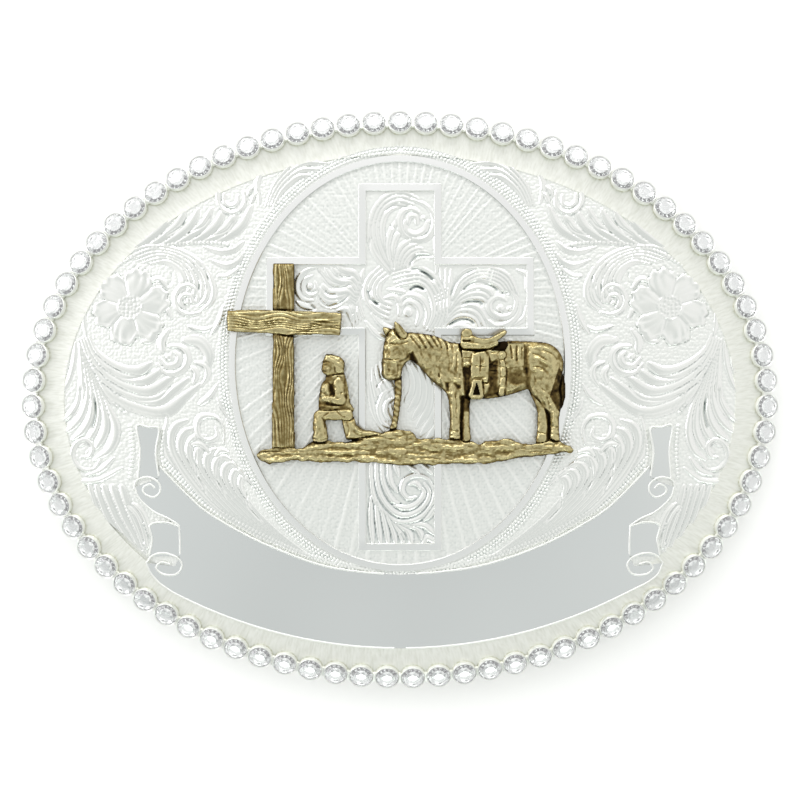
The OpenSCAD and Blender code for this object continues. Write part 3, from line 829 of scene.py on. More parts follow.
# %% [markdown]
# ## The cross panel
# The cross is filled with the same scroll leaves, smaller and closer. Its two arms aren't
# mirror images on the real plate, so each is drawn by itself.

# %% Scroll leaves in the arms of the cross
panel = Sheet((-18.4, -20.9, 18.6, 30.0), 0.116)
panel.h = 0.04 * bumps(panel, 0.42, 4, 3.2) - 0.03
panel.bundle([(440, 268), (443, 290), (441, 310), (435, 332)],
             [(451, 270), (450, 288), (447, 306), (441, 328)], 3, 3.2)
panel.strands([[(516, 270), (526, 276), (526, 292)], [(526, 306), (524, 318), (512, 326)]], 3.0)
panel.bundle([(450, 300), (457, 281), (471, 270), (491, 269), (508, 277), (518, 296)],
             [(457, 302), (465, 290), (478, 283), (490, 283), (499, 287), (506, 295)], 5, 3.0)
panel.bundle([(449, 310), (462, 294), (477, 288), (488, 291), (495, 300)],
             [(450, 314), (461, 303), (472, 299), (481, 299), (488, 303)], 3, 3.0)
panel.bundle([(445, 322), (457, 309), (470, 305), (481, 311), (490, 328)],
             [(444, 327), (456, 317), (466, 316), (475, 320), (479, 328)], 3, 3.2)
panel.strands([[(444, 331), (456, 326), (472, 329)],
               [(516, 296), (519, 311), (510, 323), (496, 327), (486, 320)],
               [(511, 292), (516, 303), (511, 315), (500, 318), (490, 312), (489, 303), (497, 297),
                (506, 301)]], 3.4)
panel.button((500, 309), 3.6)
panel.button((509, 309), 2.6)
panel.shadow([[(450, 298), (455, 284), (463, 275), (473, 270)],
              [(460, 292), (470, 285), (482, 283), (493, 287), (498, 293)],
              [(460, 307), (468, 302), (478, 302), (483, 306)],
              [(447, 326), (457, 321), (468, 320), (475, 325)], [(501, 293), (508, 294)]], 1.7, 0.3)
panel.bundle([(364, 318), (358, 300), (360, 284), (364, 270)],
             [(354, 328), (352, 317), (352, 308), (355, 299)], 4, 3.2)
panel.bundle([(357, 296), (348, 286), (338, 286.5), (328, 282), (319, 269)],
             [(361, 282), (355, 274), (349, 272), (344, 270.5), (338, 267)], 4, 3.6, lift=0.19,
             crest=0.3)
panel.bundle([(354, 306), (346, 300), (334, 306), (322, 303), (318, 292)],
             [(356, 298), (348, 292), (338, 293), (330, 293), (323, 285)], 4, 3.4, lift=0.19,
             crest=0.3)
panel.strands([[(352, 322), (348, 311), (338, 311)],
               [(318, 268), (307, 271), (299, 280), (298, 291), (304, 299), (314, 301)],
               [(313, 276), (305, 281), (304, 290), (311, 295), (317, 290), (315, 282)],
               [(297, 302), (304, 306), (313, 309)], [(284, 270), (278, 284), (280, 300)]], 3.2,
              lift=0.19)
panel.button((310, 287), 3)
panel.shadow([[(318, 270), (324, 278), (331, 286), (340, 288), (352, 285)],
              [(339, 275), (344, 278), (352, 277)], [(325, 291), (330, 295), (337, 295)],
              [(319, 297), (323, 304), (330, 307), (340, 304), (349, 296)],
              [(307, 290), (312, 293), (318, 291)], [(311, 306), (316, 310)],
              [(354, 331), (362, 331)]], 1.4, 0.28)
print("share of the cross sheet under leaves", round(float(panel.polish.mean()), 2))

# %% [markdown]
# The upright has one stem that winds from side to side. The horse's head covers a part of it,
# so little is drawn there.

# %% Scroll leaves in the upright of the cross
panel.bundle([(390, 274), (376, 258), (370, 240), (371, 222), (378, 206), (390, 195), (405, 193),
              (419, 200)],
             [(396, 272), (388, 256), (383, 240), (382, 226), (386, 214), (393, 208), (401, 206),
              (411, 208)], 4, 3.4)
panel.strands([[(389, 272), (380, 262), (373, 251), (371, 240)],
               [(392, 270), (388, 248), (391, 232), (398, 220)],
               [(396, 270), (393, 250), (396, 238), (403, 230)],
               [(436, 274), (437, 258), (434, 238)]], 3.2)
panel.strands([[(411, 200), (426, 206), (434, 218), (433, 231), (424, 240), (411, 239), (401, 230),
                (400, 217), (408, 209), (417, 212), (421, 219)],
               [(405, 222), (407, 231), (415, 235), (424, 231), (428, 222)],
               [(408, 224), (410, 217), (416, 217), (417, 224)]], 3.4, root=0.5, tip=0.6)
panel.button((423, 219), 2.4)
panel.bundle([(395, 273), (397, 258), (402, 247), (411, 240)],
             [(404, 273), (411, 262), (421, 256), (434, 258)], 5, 3.4)
panel.shadow([[(385, 212), (394, 207), (409, 208)], [(390, 226), (395, 229)]], 1.3, 0.2)
panel.bundle([(392, 275), (408, 271), (424, 271), (437, 282), (443, 298), (442, 316), (436, 332)],
             [(396, 287), (408, 284), (419, 283), (428, 290), (433, 302), (433, 316), (427, 330)],
             4, 3.4)
panel.bundle([(380, 267), (368, 281), (366, 297), (375, 311), (388, 319)],
             [(388, 277), (380, 285), (379, 295), (385, 302), (392, 305)], 4, 3.2)
panel.strands([[(388, 290), (396, 291), (406, 293)],
               [(384, 299), (394, 297), (400, 305), (399, 316)],
               [(399, 303), (406, 296), (417, 297), (425, 304), (428, 315), (424, 328)],
               [(401, 308), (408, 302), (416, 305), (420, 314), (416, 326)],
               [(372, 314), (382, 325), (396, 331)], [(366, 322), (376, 334), (388, 340)]], 3.2,
              root=0.4)
panel.button((408, 313), 4.4)
panel.shadow([[(408, 268), (414, 259), (421, 256), (432, 257)],
              [(410, 270), (418, 270), (427, 275), (434, 282)],
              [(409, 291), (416, 287), (425, 290)], [(368, 290), (371, 300), (380, 305)]], 1.7, 0.5)
panel.bundle([(368, 372), (370, 390), (374, 412), (384, 432)],
             [(381, 362), (384, 374), (391, 386), (396, 398)], 4, 3.2, lift=0.16)
panel.strands([[(394, 388), (384, 394), (379, 408), (383, 422), (393, 428)],
               [(396, 398), (388, 402), (386, 412), (392, 420)]], 3.2)
panel.bundle([(405, 362), (413, 376), (413, 390), (405, 402)],
             [(438, 366), (444, 394), (440, 420), (424, 444)], 6, 4.2, lift=0.09)
panel.shadow([[(376, 388), (382, 380), (386, 379)], [(376, 404), (379, 396)]], 1.2, 0.2)
panel.bundle([(372, 440), (371, 470), (374, 496), (384, 513), (399, 522), (416, 519), (429, 508),
              (434, 492), (428, 479)],
             [(384, 446), (382, 470), (385, 486), (392, 499), (402, 507), (412, 506), (420, 500),
              (424, 492), (420, 486)], 3, 3.2)
panel.strands([[(391, 446), (389, 466), (391, 482), (398, 492)],
               [(398, 448), (396, 464), (399, 476)],
               [(434, 489), (427, 478), (415, 475), (405, 480), (402, 490), (408, 498), (417, 496)],
               [(409, 484), (416, 483), (421, 489)], [(404, 450), (408, 464), (419, 473)],
               [(412, 447), (420, 461), (432, 474)], [(422, 446), (428, 458), (436, 466)]], 3.0)
panel.bundle([(371, 496), (371, 518), (373, 543)], [(392, 521), (400, 531), (404, 544)], 5, 3.0)
panel.strands([[(396, 523), (408, 531), (412, 544)], [(402, 524), (417, 528), (424, 541)],
               [(410, 524), (424, 525), (435, 534)], [(422, 545), (427, 537), (435, 541)],
               [(424, 520), (430, 514), (436, 504)]], 3.4)
panel.shadow([[(391, 503), (398, 504), (402, 503)], [(400, 532), (404, 540)]], 1.2, 0.2)
lower_end = np.clip((-8 - panel.Y) / 4, 0, 1)
panel.h *= 0.75 + 0.15 * lower_end
keep = edge_distance(panel.X, panel.Y, cross) < -0.5
# The lower end of the upright is painted darker all over and in its hollows: painted shade.
deep = hollows(panel, keep, 0.27, 1.4) * (1 + 0.4 * lower_end)
dark = np.clip(0.1 + deep + 0.1 * lower_end, 0, 1)
solid("cross_panel", panel, keep, RELIEF_BOTTOM, "engraved_plate", silver,
      {"polish": (panel.polish, 0.0), "hollow": (dark, 0.3)})

# %% [markdown]
# ## Frames
# The oval frame and the border of the cross are raised bands. They slope gently outward from a
# crest near their inner edge, so that they catch the lamps. A profile is swept along each
# outline, and its corners are mitred.

# %% Swept bands


def sweep(path, profile, closed=True):
    """Points and faces of a band: each path point carries the profile's offsets and heights."""
    ahead = np.roll(path, -1, axis=0) - path
    if not closed:
        ahead[-1] = ahead[-2]
    ahead = ahead / np.hypot(*ahead.T)[:, None]
    behind = np.roll(ahead, 1, axis=0)
    if not closed:
        behind[0] = ahead[0]
    n1 = np.column_stack([behind[:, 1], -behind[:, 0]])
    n2 = np.column_stack([ahead[:, 1], -ahead[:, 0]])
    mitre = (n1 + n2) / (1 + np.sum(n1 * n2, axis=1))[:, None]
    verts = []
    for p, m in zip(path, mitre):
        for offset, height in profile:
            x, y = p + m * offset
            verts.append((x, y, float(dome(x, y, height))))
    count, width = len(path), len(profile)
    faces = []
    for a in range(count if closed else count - 1):
        b = (a + 1) % count
        faces += [[a * width + k, a * width + (k + 1) % width,
                   b * width + (k + 1) % width, b * width + k] for k in range(width)]
    if not closed:
        faces += [list(range(width)), [(count - 1) * width + k for k in range(width)]]
    return verts, faces


def long_sides(corners, spacing=1.5):
    """The outline's corners with points between them, so that long sides follow the dome."""
    points = []
    for a, b in zip(corners, np.roll(corners, -1, axis=0)):
        count = max(1, int(np.hypot(*(b - a)) / spacing))
        points += [a + (b - a) * k / count for k in range(count)]
    return np.array(points)


oval_profile = [(0, -0.6), (0, 0.14), (-0.08, 0.25), (-0.84, 0.38), (-0.95, 0.39), (-1.04, 0.3),
                (-BAND_W, 0.12), (-BAND_W, -0.6)]
cross_profile = [(0, -0.6), (0, 0.12), (-0.08, 0.22), (-0.86, 0.35), (-0.98, 0.37), (-1.06, 0.28),
                 (-BAND_W, 0.06), (-BAND_W, -0.6)]
for name, path, profile in (("oval_frame", oval(0, 360), oval_profile),
                            ("cross_border", long_sides(cross), cross_profile)):
    verts, faces = sweep(path, profile)
    piece(name, verts, faces, "engraved_plate", buffed, 28)

# %% [markdown]
# ## The banner
# A plain ribbon lies across the foot of the buckle with two folds at each end. On the real
# buckle it is left smooth for engraving, and here it stays bare. Each part of it is a plate cut
# to its outline.

# %% Plates cut to an outline


def plate(name, outline, height):
    """A closed, polished plate that follows the dome, cut to an outline given anticlockwise."""
    outline = long_sides(np.asarray(outline), 0.8)
    low, high = outline.min(0), outline.max(0)
    gx, gy = np.meshgrid(np.arange(low[0], high[0], 1.2), np.arange(low[1], high[1], 1.2))
    inner = np.column_stack([gx.ravel(), gy.ravel()])
    inner = inner[edge_distance(inner[:, 0], inner[:, 1], outline) < -0.4]
    flat = np.vstack([outline, inner])
    count, total = len(outline), len(flat)
    wires = [(k, (k + 1) % count) for k in range(count)]
    faces = within(delaunay_2d_cdt([Vector(p) for p in flat.tolist()], wires, [], 0, 1e-6), wires)
    verts = np.vstack([on_dome(*flat.T, height), on_dome(*flat.T, BANNER_BOTTOM)])
    under = [[v + total for v in reversed(face)] for face in faces]
    sides = [[a, a + total, b + total, b] for a, b in wires]
    piece(name, verts, faces + under + sides, "engraved_plate", mirror, 40)


plate("banner", banner, BANNER_H)
for label, outline in (("upper_fold", upper_fold), ("lower_fold", lower_fold)):
    for side, shape in (("right", outline[::-1]), ("left", to_left(outline))):
        plate(f"{label}_{side}", shape, BANNER_H - 0.06)

# %% [markdown]
# The banner's edges and the small curls at its ends are raised lines, made as thin wires that
# are sunk to half of their thickness.

# %% Wires along the banner
WIRE_R = 0.15
lines = [banner_top[2:], np.vstack([banner_end, paper([(629, 540), (629, 554)])]), banner_low[:-1],
         smooth_line(paper([(650, 476), (653, 452), (650, 429), (661, 427), (672, 426), (669, 450),
                            (671, 478)]), 40),
         smooth_line(paper([(675, 489), (672, 480), (660, 477), (650, 483), (649, 492), (656, 497),
                            (665, 493), (665, 487), (659, 484), (654, 488)]), 40),
         smooth_line(paper([(630, 526), (644, 522), (659, 525), (657, 540), (660, 555)]), 40),
         smooth_line(paper([(663, 563), (656, 555), (644, 553), (631, 558), (627, 566), (633, 574),
                            (646, 574), (653, 568), (648, 562), (639, 564)]), 40),
         smooth_line(paper([(663, 563), (658, 574), (648, 582), (636, 588), (621, 595.4)]), 20)]
profile = [(WIRE_R * math.cos(a), BANNER_H + WIRE_R * math.sin(a))
           for a in np.radians(np.arange(0, 360, 45))]
verts, faces = [], []
for path in lines:
    for wire in (path, to_left(path)):
        wire_verts, wire_faces = sweep(wire, profile, closed=False)
        faces += [[k + len(verts) for k in face] for face in wire_faces]
        verts += wire_verts
piece("banner_lines", verts, faces, "engraved_plate", silver, 60)

# %% [markdown]
# ## The border band
# Between the scrollwork and the stones runs a plain band with a fine grain across it, cut by
# an engraving wheel and then lacquered. A ring of narrow quads lets the grain be real relief.

# %% Border band
CUP_R, CUP_TILT, CUP_LIFT, STONES = 1.68, 30.0, 0.6, 79
RIM_A = WIDTH / 2 - CUP_R * math.cos(math.radians(CUP_TILT))
RIM_B = HEIGHT / 2 - CUP_R * math.cos(math.radians(CUP_TILT))
columns, rows = 1680, 15
t = np.linspace(0, 2 * np.pi, columns, endpoint=False)
u = np.linspace(0, 1, rows)[:, None]
x = (FIELD_A * (1 - u) + (RIM_A - 0.4) * u) * np.cos(t)
y = (FIELD_B * (1 - u) + (RIM_B - 0.4) * u) * np.sin(t)
wave = np.random.default_rng(12).uniform(-1, 1, (rows + 2, columns))
grain = (wave[:-2] + wave[1:-1] + wave[2:]) / 3
h = 0.1 + 0.03 * grain + 0.05 * np.exp(-(u / 0.09) ** 2)
ring_t = np.linspace(0, 2 * np.pi, 7201) + np.pi / 2
ring_x, ring_y = RIM_A * np.cos(ring_t), RIM_B * np.sin(ring_t)
steps = np.r_[0, np.cumsum(np.hypot(np.diff(ring_x), np.diff(ring_y)))]
stone_at = np.interp(np.arange(STONES) * steps[-1] / STONES, steps, ring_t)
to_cup = np.full(x.shape, 9.0)
for at in stone_at:
    to_cup = np.minimum(to_cup, np.hypot(x - RIM_A * np.cos(at), y - RIM_B * np.sin(at)))
# Painted shade along the edge of each cup where it meets the band.
cup_shade = 0.75 * np.exp(-((to_cup - CUP_R) / 0.2) ** 2) * (to_cup > 1)
shade = np.clip(0.1 - 0.25 * grain, 0, 1) + cup_shade
top = on_dome(x, y, h)
low = np.vstack([on_dome(x[r], y[r], RELIEF_BOTTOM) for r in (0, -1)])
total = rows * columns
faces = []
for k in range(columns):
    n = (k + 1) % columns
    faces += [[r * columns + k, (r + 1) * columns + k, (r + 1) * columns + n, r * columns + n]
              for r in range(rows - 1)]
    faces.append([total - columns + k, total + columns + k, total + columns + n,
                  total - columns + n])
    faces.append([k, n, total + n, total + k])
    faces.append([total + k, total + n, total + columns + n, total + columns + k])
piece("border_band", np.vstack([top, low]), faces, "engraved_plate", matte, 60,
      {"hollow": np.r_[np.clip(shade, 0, 1).ravel(), np.zeros(len(low))]})

# %% [markdown]
# ## The back of the plate
# The back is a plain cast shell, a little uneven from the mould. It closes everything that the
# relief pieces leave open below.

# %% Back shell
columns, rows = 240, 40
t = np.linspace(0, 2 * np.pi, columns, endpoint=False)
u = np.linspace(0.025, 1, rows)[:, None]
x, y = u * RIM_A * np.cos(t), u * RIM_B * np.sin(t)
under = DOME_Z + np.sqrt(BACK_R ** 2 - x * x - y * y) + 0.03 * cloud(x, y, 1.6, 21)
verts = np.vstack([on_dome(x, y, -0.5), np.column_stack([x.ravel(), y.ravel(), under.ravel()])])
total = rows * columns
faces = []
for r in range(rows - 1):
    for k in range(columns):
        n = (k + 1) % columns
        quad = [r * columns + k, (r + 1) * columns + k, (r + 1) * columns + n, r * columns + n]
        faces += [quad, [v + total for v in reversed(quad)]]
last = (rows - 1) * columns
faces += [[last + k, last + total + k, last + total + (k + 1) % columns, last + (k + 1) % columns]
          for k in range(columns)]
faces += [list(range(columns)), [total + k for k in range(columns)][::-1]]
piece("back_shell", verts, faces, "engraved_plate", silver, 40)

# %% [markdown]
# Three sockets are cast on the back, and the fittings are pressed into their bores. Each is a
# turned shape with a broken edge, so its profile goes round its axis.

# %% Sockets on the back
BOSS_H, BOSS_WALL, FOOT_DEPTH, FIT = 1.2, 0.9, 1.8, 0.05
BOSS_ROOT, EDGE, LEAD_IN = 0.75, 0.15, 0.1
for name, px, py, foot_r in (("loop_socket_upper", 33, 21.5, 1.5),
                             ("loop_socket_lower", 33, -21.5, 1.5), ("hook_socket", -36, 0, 1.2)):
    z = float(DOME_Z + math.sqrt(BACK_R ** 2 - px * px - py * py)) - BOSS_H
    outer, bore, deep = foot_r + BOSS_WALL, foot_r + FIT, FOOT_DEPTH + FIT
    profile = [(0, BOSS_H + BOSS_ROOT), (outer, BOSS_H + BOSS_ROOT), (outer, EDGE),
               (outer - EDGE, 0), (bore + LEAD_IN, 0), (bore, LEAD_IN), (bore, deep), (0, deep)]
    turns = np.radians(np.arange(0, 360, 7.5))
    verts, faces = [(px, py, z + profile[0][1])], []
    for r, up in profile[1:-1]:
        verts += [(px + r * math.cos(v), py + r * math.sin(v), z + up) for v in turns]
    verts.append((px, py, z + profile[-1][1]))
    n, last = len(turns), len(profile) - 3
    for k in range(n):
        m = (k + 1) % n
        faces.append([0, 1 + k, 1 + m])
        faces += [[1 + r * n + k, 1 + (r + 1) * n + k, 1 + (r + 1) * n + m, 1 + r * n + m]
                  for r in range(last)]
        faces.append([1 + last * n + k, len(verts) - 1, 1 + last * n + m])
    piece(name, verts, faces, "engraved_plate", silver, 30)

# %% [markdown]
# ## The rim of crystals
# On the real rim each stone sits in a round cup, and the cups are joined in a chain by short
# bars, so the whole rim is one band. Each cup here is a closed shell. Its wall is a silver cone
# with a lip, its top is the cut crown of the stone, and close below the crown lies a shallow dish
# that mirrors light back up through the stone, as the foil does on the real one. A bar between
# neighbours shares its points with both, which makes one piece of all 79.

# %% Cup chain
CUP_SIDES, FACETS = 24, 8
PER_FACET = CUP_SIDES // FACETS
STONE_R, TABLE_R, CROWN_H = 1.55, 0.86, 0.64
STAR_R, STAR_H = 1.18, 0.4
OUTER_R, FOIL_Z, FOOT_Z = 1.76, -0.3, -2.0
rings = [(0.5, FOOT_Z), (1.72, -0.5), (OUTER_R, -0.02), (1.74, 0.1), (1.68, 0.16), (1.6, 0.12),
         (STONE_R, 0.06)]
inner_rings = [(0.4, FOOT_Z + 0.1), (1.62, -0.04), (1.28, FOIL_Z + 0.1), (0.76, FOIL_Z)]
SPECKS = (11, 9, 13, 7, 15)  # the sides of the foil that are dark
LOW_RING, HIGH_RING = 1, 2  # a bar is as high as the wall between these two
AHEAD, BEHIND = (4, 5, 6, 7), (16, 17, 18, 19)  # the points of a cup that its two bars share
verts, faces, cut, bright, shaded = [], [], [], [], []
per_cup = (len(rings) + len(inner_rings)) * CUP_SIDES + 1 + 2 * FACETS
tilt = math.radians(CUP_TILT)
around = [math.radians((k + 0.5) * 360 / CUP_SIDES) for k in range(CUP_SIDES)]
for i, at in enumerate(stone_at):
    cx, cy = RIM_A * math.cos(at), RIM_B * math.sin(at)
    cz = float(dome(cx, cy)) + CUP_LIFT
    facing = math.atan2(math.sin(at) / RIM_B, math.cos(at) / RIM_A)
    local = [(r * math.cos(a), r * math.sin(a), z) for r, z in rings + inner_rings for a in around]
    local.append((0, 0, FOIL_Z))
    corners = around[::PER_FACET]
    local += [(TABLE_R * math.cos(a), TABLE_R * math.sin(a), CROWN_H) for a in corners]
    local += [(STAR_R * math.cos(a + math.pi / FACETS), STAR_R * math.sin(a + math.pi / FACETS),
               STAR_H) for a in corners]
    for lx, ly, lz in local:
        ax = lx * math.cos(tilt) + lz * math.sin(tilt)
        az = -lx * math.sin(tilt) + lz * math.cos(tilt)
        verts.append((cx + ax * math.cos(facing) - ly * math.sin(facing),
                      cy + ax * math.sin(facing) + ly * math.cos(facing), cz + az))
    base = i * per_cup
    table = base + per_cup - 2 * FACETS
    star = table + FACETS
    last = base + (len(rings) - 1) * CUP_SIDES
    for r in range(len(rings) - 1):
        for k in range(CUP_SIDES):
            if r == LOW_RING and k in AHEAD[:-1] + BEHIND[:-1]:
                continue
            n = (k + 1) % CUP_SIDES
            faces.append([base + r * CUP_SIDES + k, base + r * CUP_SIDES + n,
                          base + (r + 1) * CUP_SIDES + n, base + (r + 1) * CUP_SIDES + k])
    under = base + len(rings) * CUP_SIDES
    for k in range(CUP_SIDES):
        n = (k + 1) % CUP_SIDES
        faces.append([base + n, base + k, under + k, under + n])
        for r in range(len(inner_rings) - 1):
            (shaded if r == 2 and k in SPECKS else bright).append(len(faces))
            faces.append([under + r * CUP_SIDES + n, under + r * CUP_SIDES + k,
                          under + (r + 1) * CUP_SIDES + k, under + (r + 1) * CUP_SIDES + n])
        bright.append(len(faces))
        faces.append([table - 1 - CUP_SIDES + n, table - 1 - CUP_SIDES + k, table - 1])
    crown_from = len(faces)
    faces.append([table + m for m in range(FACETS)])
    for m in range(FACETS):
        n, b, g = (m + 1) % FACETS, (m - 1) % FACETS, PER_FACET * m
        faces.append([table + m, star + m, table + n])
        faces.append([table + m, star + b, last + g, star + m])
        faces += [[star + m, last + (g + q) % CUP_SIDES, last + (g + q + 1) % CUP_SIDES]
                  for q in range(PER_FACET)]
    cut += range(crown_from, len(faces))
    after = ((i + 1) % STONES) * per_cup
    low, high = LOW_RING * CUP_SIDES, HIGH_RING * CUP_SIDES
    near_end = [base + low + k for k in AHEAD] + [base + high + k for k in AHEAD[::-1]]
    far_end = [after + low + k for k in BEHIND[::-1]] + [after + high + k for k in BEHIND]
    faces += [[near_end[q], near_end[(q + 1) % 8], far_end[(q + 1) % 8], far_end[q]]
              for q in range(8)]
piece("crystal_cup_chain", verts, faces, "rim_stones",
      [satin, crystal, mirror, shadow_foil], 25, None, [cut, bright, shaded])

# %% [markdown]
# ## Fittings on the back
# The loop and the post are plain bent and turned wire, and their own meshes are already right,
# so they only get the nickel.

# %% Nickel on the fittings
for name in ("belt_loop", "belt_hook"):
    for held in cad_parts[name].material_slots:
        held.material = nickel
    print(name, len(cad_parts[name].material_slots), "finish")

# %% [markdown]
# ## The brass casting
# The cross, the kneeling figure, the horse and the ground are one casting in low relief. Round
# limbs flow into each other on a body, so they are built as chains of circles whose outlines
# blend. A form nearer the viewer is laid over one behind it, and a seam is left round it, where
# the patina gathers. The face is a plain, calm one of no person in particular.

# %% Tools for the casting
cast = Sheet((-25.8, -9.7, 24.7, 20.9), 0.088)
cast.h[:] = 0.45
solid_part = np.zeros_like(cast.h, bool)
patina_and_shade = np.zeros_like(cast.h)


def lumps(size, seed, stretch=1.0):
    """Smooth random values over the casting."""
    return cloud(cast.X, cast.Y, size, seed, stretch)


ragged = 0.7 + 0.6 * lumps(0.9, 30)


def limbs(*chains, blend=0.35):
    """Distance to forms made of circles along lines, negative inside, blended where they meet."""
    total = np.full(cast.h.shape, 50.0)
    for chain in chains:
        chain = np.asarray(chain, float)
        line = smooth_line(np.column_stack([paper(chain[:, :2]), chain[:, 2] * UNIT]),
                           7 * len(chain))
        reach = line[:, 2].max() + 1.2
        i = slice(*np.searchsorted(cast.x, (line[:, 0].min() - reach, line[:, 0].max() + reach)))
        j = slice(*np.searchsorted(cast.y, (line[:, 1].min() - reach, line[:, 1].max() + reach)))
        x, y = cast.X[j, i], cast.Y[j, i]
        near = np.full(x.shape, 50.0)
        for (ax, ay, ar), (bx, by, br) in zip(line[:-1], line[1:]):
            dx, dy = bx - ax, by - ay
            t = np.clip(((x - ax) * dx + (y - ay) * dy) / (dx * dx + dy * dy + 1e-12), 0, 1)
            near = np.minimum(near, np.hypot(x - ax - t * dx, y - ay - t * dy) - ar - t * (br - ar))
        mix = np.maximum(blend - np.abs(total[j, i] - near), 0) / blend
        total[j, i] = np.minimum(total[j, i], near) - mix * mix * blend / 4
    return total


def patch(points, round_by=0.0):
    """Distance to an outline of the drawing, with its corners rounded."""
    return edge_distance(cast.X, cast.Y, paper(points)) - round_by


def swell(off, low, rise, rounding):
    """Height of a form that rises from its edge and rounds off within that width."""
    depth = np.clip(-off / rounding, 0, 1)
    return low + rise * np.sqrt(1 - (1 - depth) ** 2)


def lay(off, height, seam=0.12):
    """Lays a form over the casting and cuts an uneven seam round it."""
    cast.h[:] -= seam * ragged * np.exp(-(np.maximum(off, 0) / 0.2) ** 2) * solid_part * (off > 0)
    np.maximum(cast.h, 0.7, out=cast.h, where=solid_part)
    cast.h[:] = np.where(off < 0, height, cast.h)
    solid_part[off < 0] = True


def sink(points, depth, dark, soft=0.5):
    """Lowers an area with a soft edge and darkens it, with patina in sunk places and painted shade
    on the figure's face and neck.
    """
    share = ease(0.5 - (patch(points) + 0.1 * ragged) / soft)
    cast.h[:] -= depth * share
    np.maximum(patina_and_shade, dark * share, out=patina_and_shade)


def strokes(rows, width, height):
    """Raises or cuts lines in what is already laid."""
    for row in rows:
        cast.line(row, width, height)


print("casting sheet of", cast.h.size, "points")

# %% [markdown]
# The wooden cross stands behind the figure. Its edges wander a little, as on a carved model,
# and its grain is a row of fine waves that noise bends and breaks.

# %% Post and beam
GRAIN = 2 * math.pi / 0.42  # one wave of the grain is 0.42 mm


def wood(across, along, seed):
    """Waves of grain across a board, bent and broken by lumps that are longer along it."""
    bent = across + 0.6 * cloud(across, along, 1.1, seed, 3)
    return np.sin(GRAIN * bent) * (0.6 + 0.4 * cloud(across, along, 0.6, seed + 1, 3))


post = patch([(273.4, 264), (295, 264), (295.4, 300), (294.8, 335), (295.5, 380), (295.6, 449),
              (272.5, 449), (273.2, 380), (273.6, 335), (273.4, 310)]) + 0.05 * lumps(0.8, 36)
beam = patch([(227.5, 311), (245, 310), (270, 310.5), (300, 311.5), (325, 312.5), (342.5, 313.5),
              (342, 325), (340.5, 336), (315, 335), (295, 336), (270, 334), (248, 333), (228, 332),
              (228, 322)]) + 0.05 * lumps(0.8, 37)
lay(post, swell(post, 1.05, 0.38, 0.5) + 0.09 * wood(cast.X, cast.Y, 38))
patina_and_shade[post < 0] = 0.16
lay(beam, swell(beam, 1.3, 0.38, 0.4) + 0.11 * wood(cast.Y, cast.X, 40), 0.3)
patina_and_shade[beam < 0] = 0
print("the beam rises to", round(float(cast.h[beam < 0].max()), 2), "mm")

# %% [markdown]
# The figure kneels on one knee with head bowed and hands together. Its coat and trousers are
# smooth masses with a few folds, and its face is only a brow, a closed eye, a nose and a mouth.

# %% Kneeling figure
back_leg = patch([(342, 417), (354, 417), (356.5, 425), (363, 430), (373, 431), (383, 433.5),
                  (386, 437), (364, 438.5), (347, 439), (344.5, 430)], 0.12)
lay(back_leg, swell(back_leg, 0.95, 0.55, 0.9))
strokes([[(352, 424), (360, 431.5), (372, 433), (383, 435)]], 1.2, 0.14)
strokes([[(346.6, 421), (349, 429), (347.4, 437)], [(353, 430), (359, 434.6), (369, 436)]], 1.2,
        -0.12)
coat = patch([(327.4, 371), (343.6, 370), (345.4, 377), (347.5, 386), (349, 396), (350.2, 403),
              (354, 409), (352, 414), (320, 414), (319.6, 404), (320.4, 396), (321, 390),
              (322.6, 384), (326.5, 380)], 0.12)
lay(coat, swell(coat, 1.1, 0.5, 1.3) + 0.05 * lumps(0.5, 45))
sink([(329, 383), (333.4, 384), (335.4, 396), (330.5, 396)], 0.34, 0.72, 0.6)
sink([(320, 402), (333, 403.5), (346, 404.5), (350, 409), (319.6, 409.4)], 0.14, 0.42, 0.7)
# A shallow dip under the head, darkened further by painted shade.
sink([(326, 375.6), (333.4, 376), (332.6, 384), (323, 384.6)], 0.04, 0.3, 0.7)
strokes([[(324.5, 384.5), (327, 388), (328, 393)], [(322, 389), (324, 393)],
         [(321, 405.4), (333, 407), (344, 406)]], 1.3, 0.16)
strokes([[(345, 379), (346.6, 390), (347, 400)], [(326, 403), (334, 405), (342, 404.5)]], 0.9,
        -0.16)
head = patch([(326.4, 355), (333, 355), (340, 357.2), (344.2, 360.8), (344.9, 366), (344, 372.8),
              (335, 374.6), (327.4, 375.6), (324, 373.4), (322.2, 370.2), (322.9, 366.5),
              (323.8, 361)], 0.1)
lay(head, swell(head, 1.2, 0.62, 1.15), 0.13)
hair = patch([(325.5, 354), (340, 356), (346, 361), (346, 374), (337, 375), (334.5, 368),
              (331.5, 362), (324, 359.6)])
cast.h[:] = np.where((hair < 0) & (head < -0.06), cast.h + 0.08 * np.clip(-hair / 0.15, 0, 1)
                     + 0.025 * np.sin(cast.Y * 11 + cast.X * 7), cast.h)
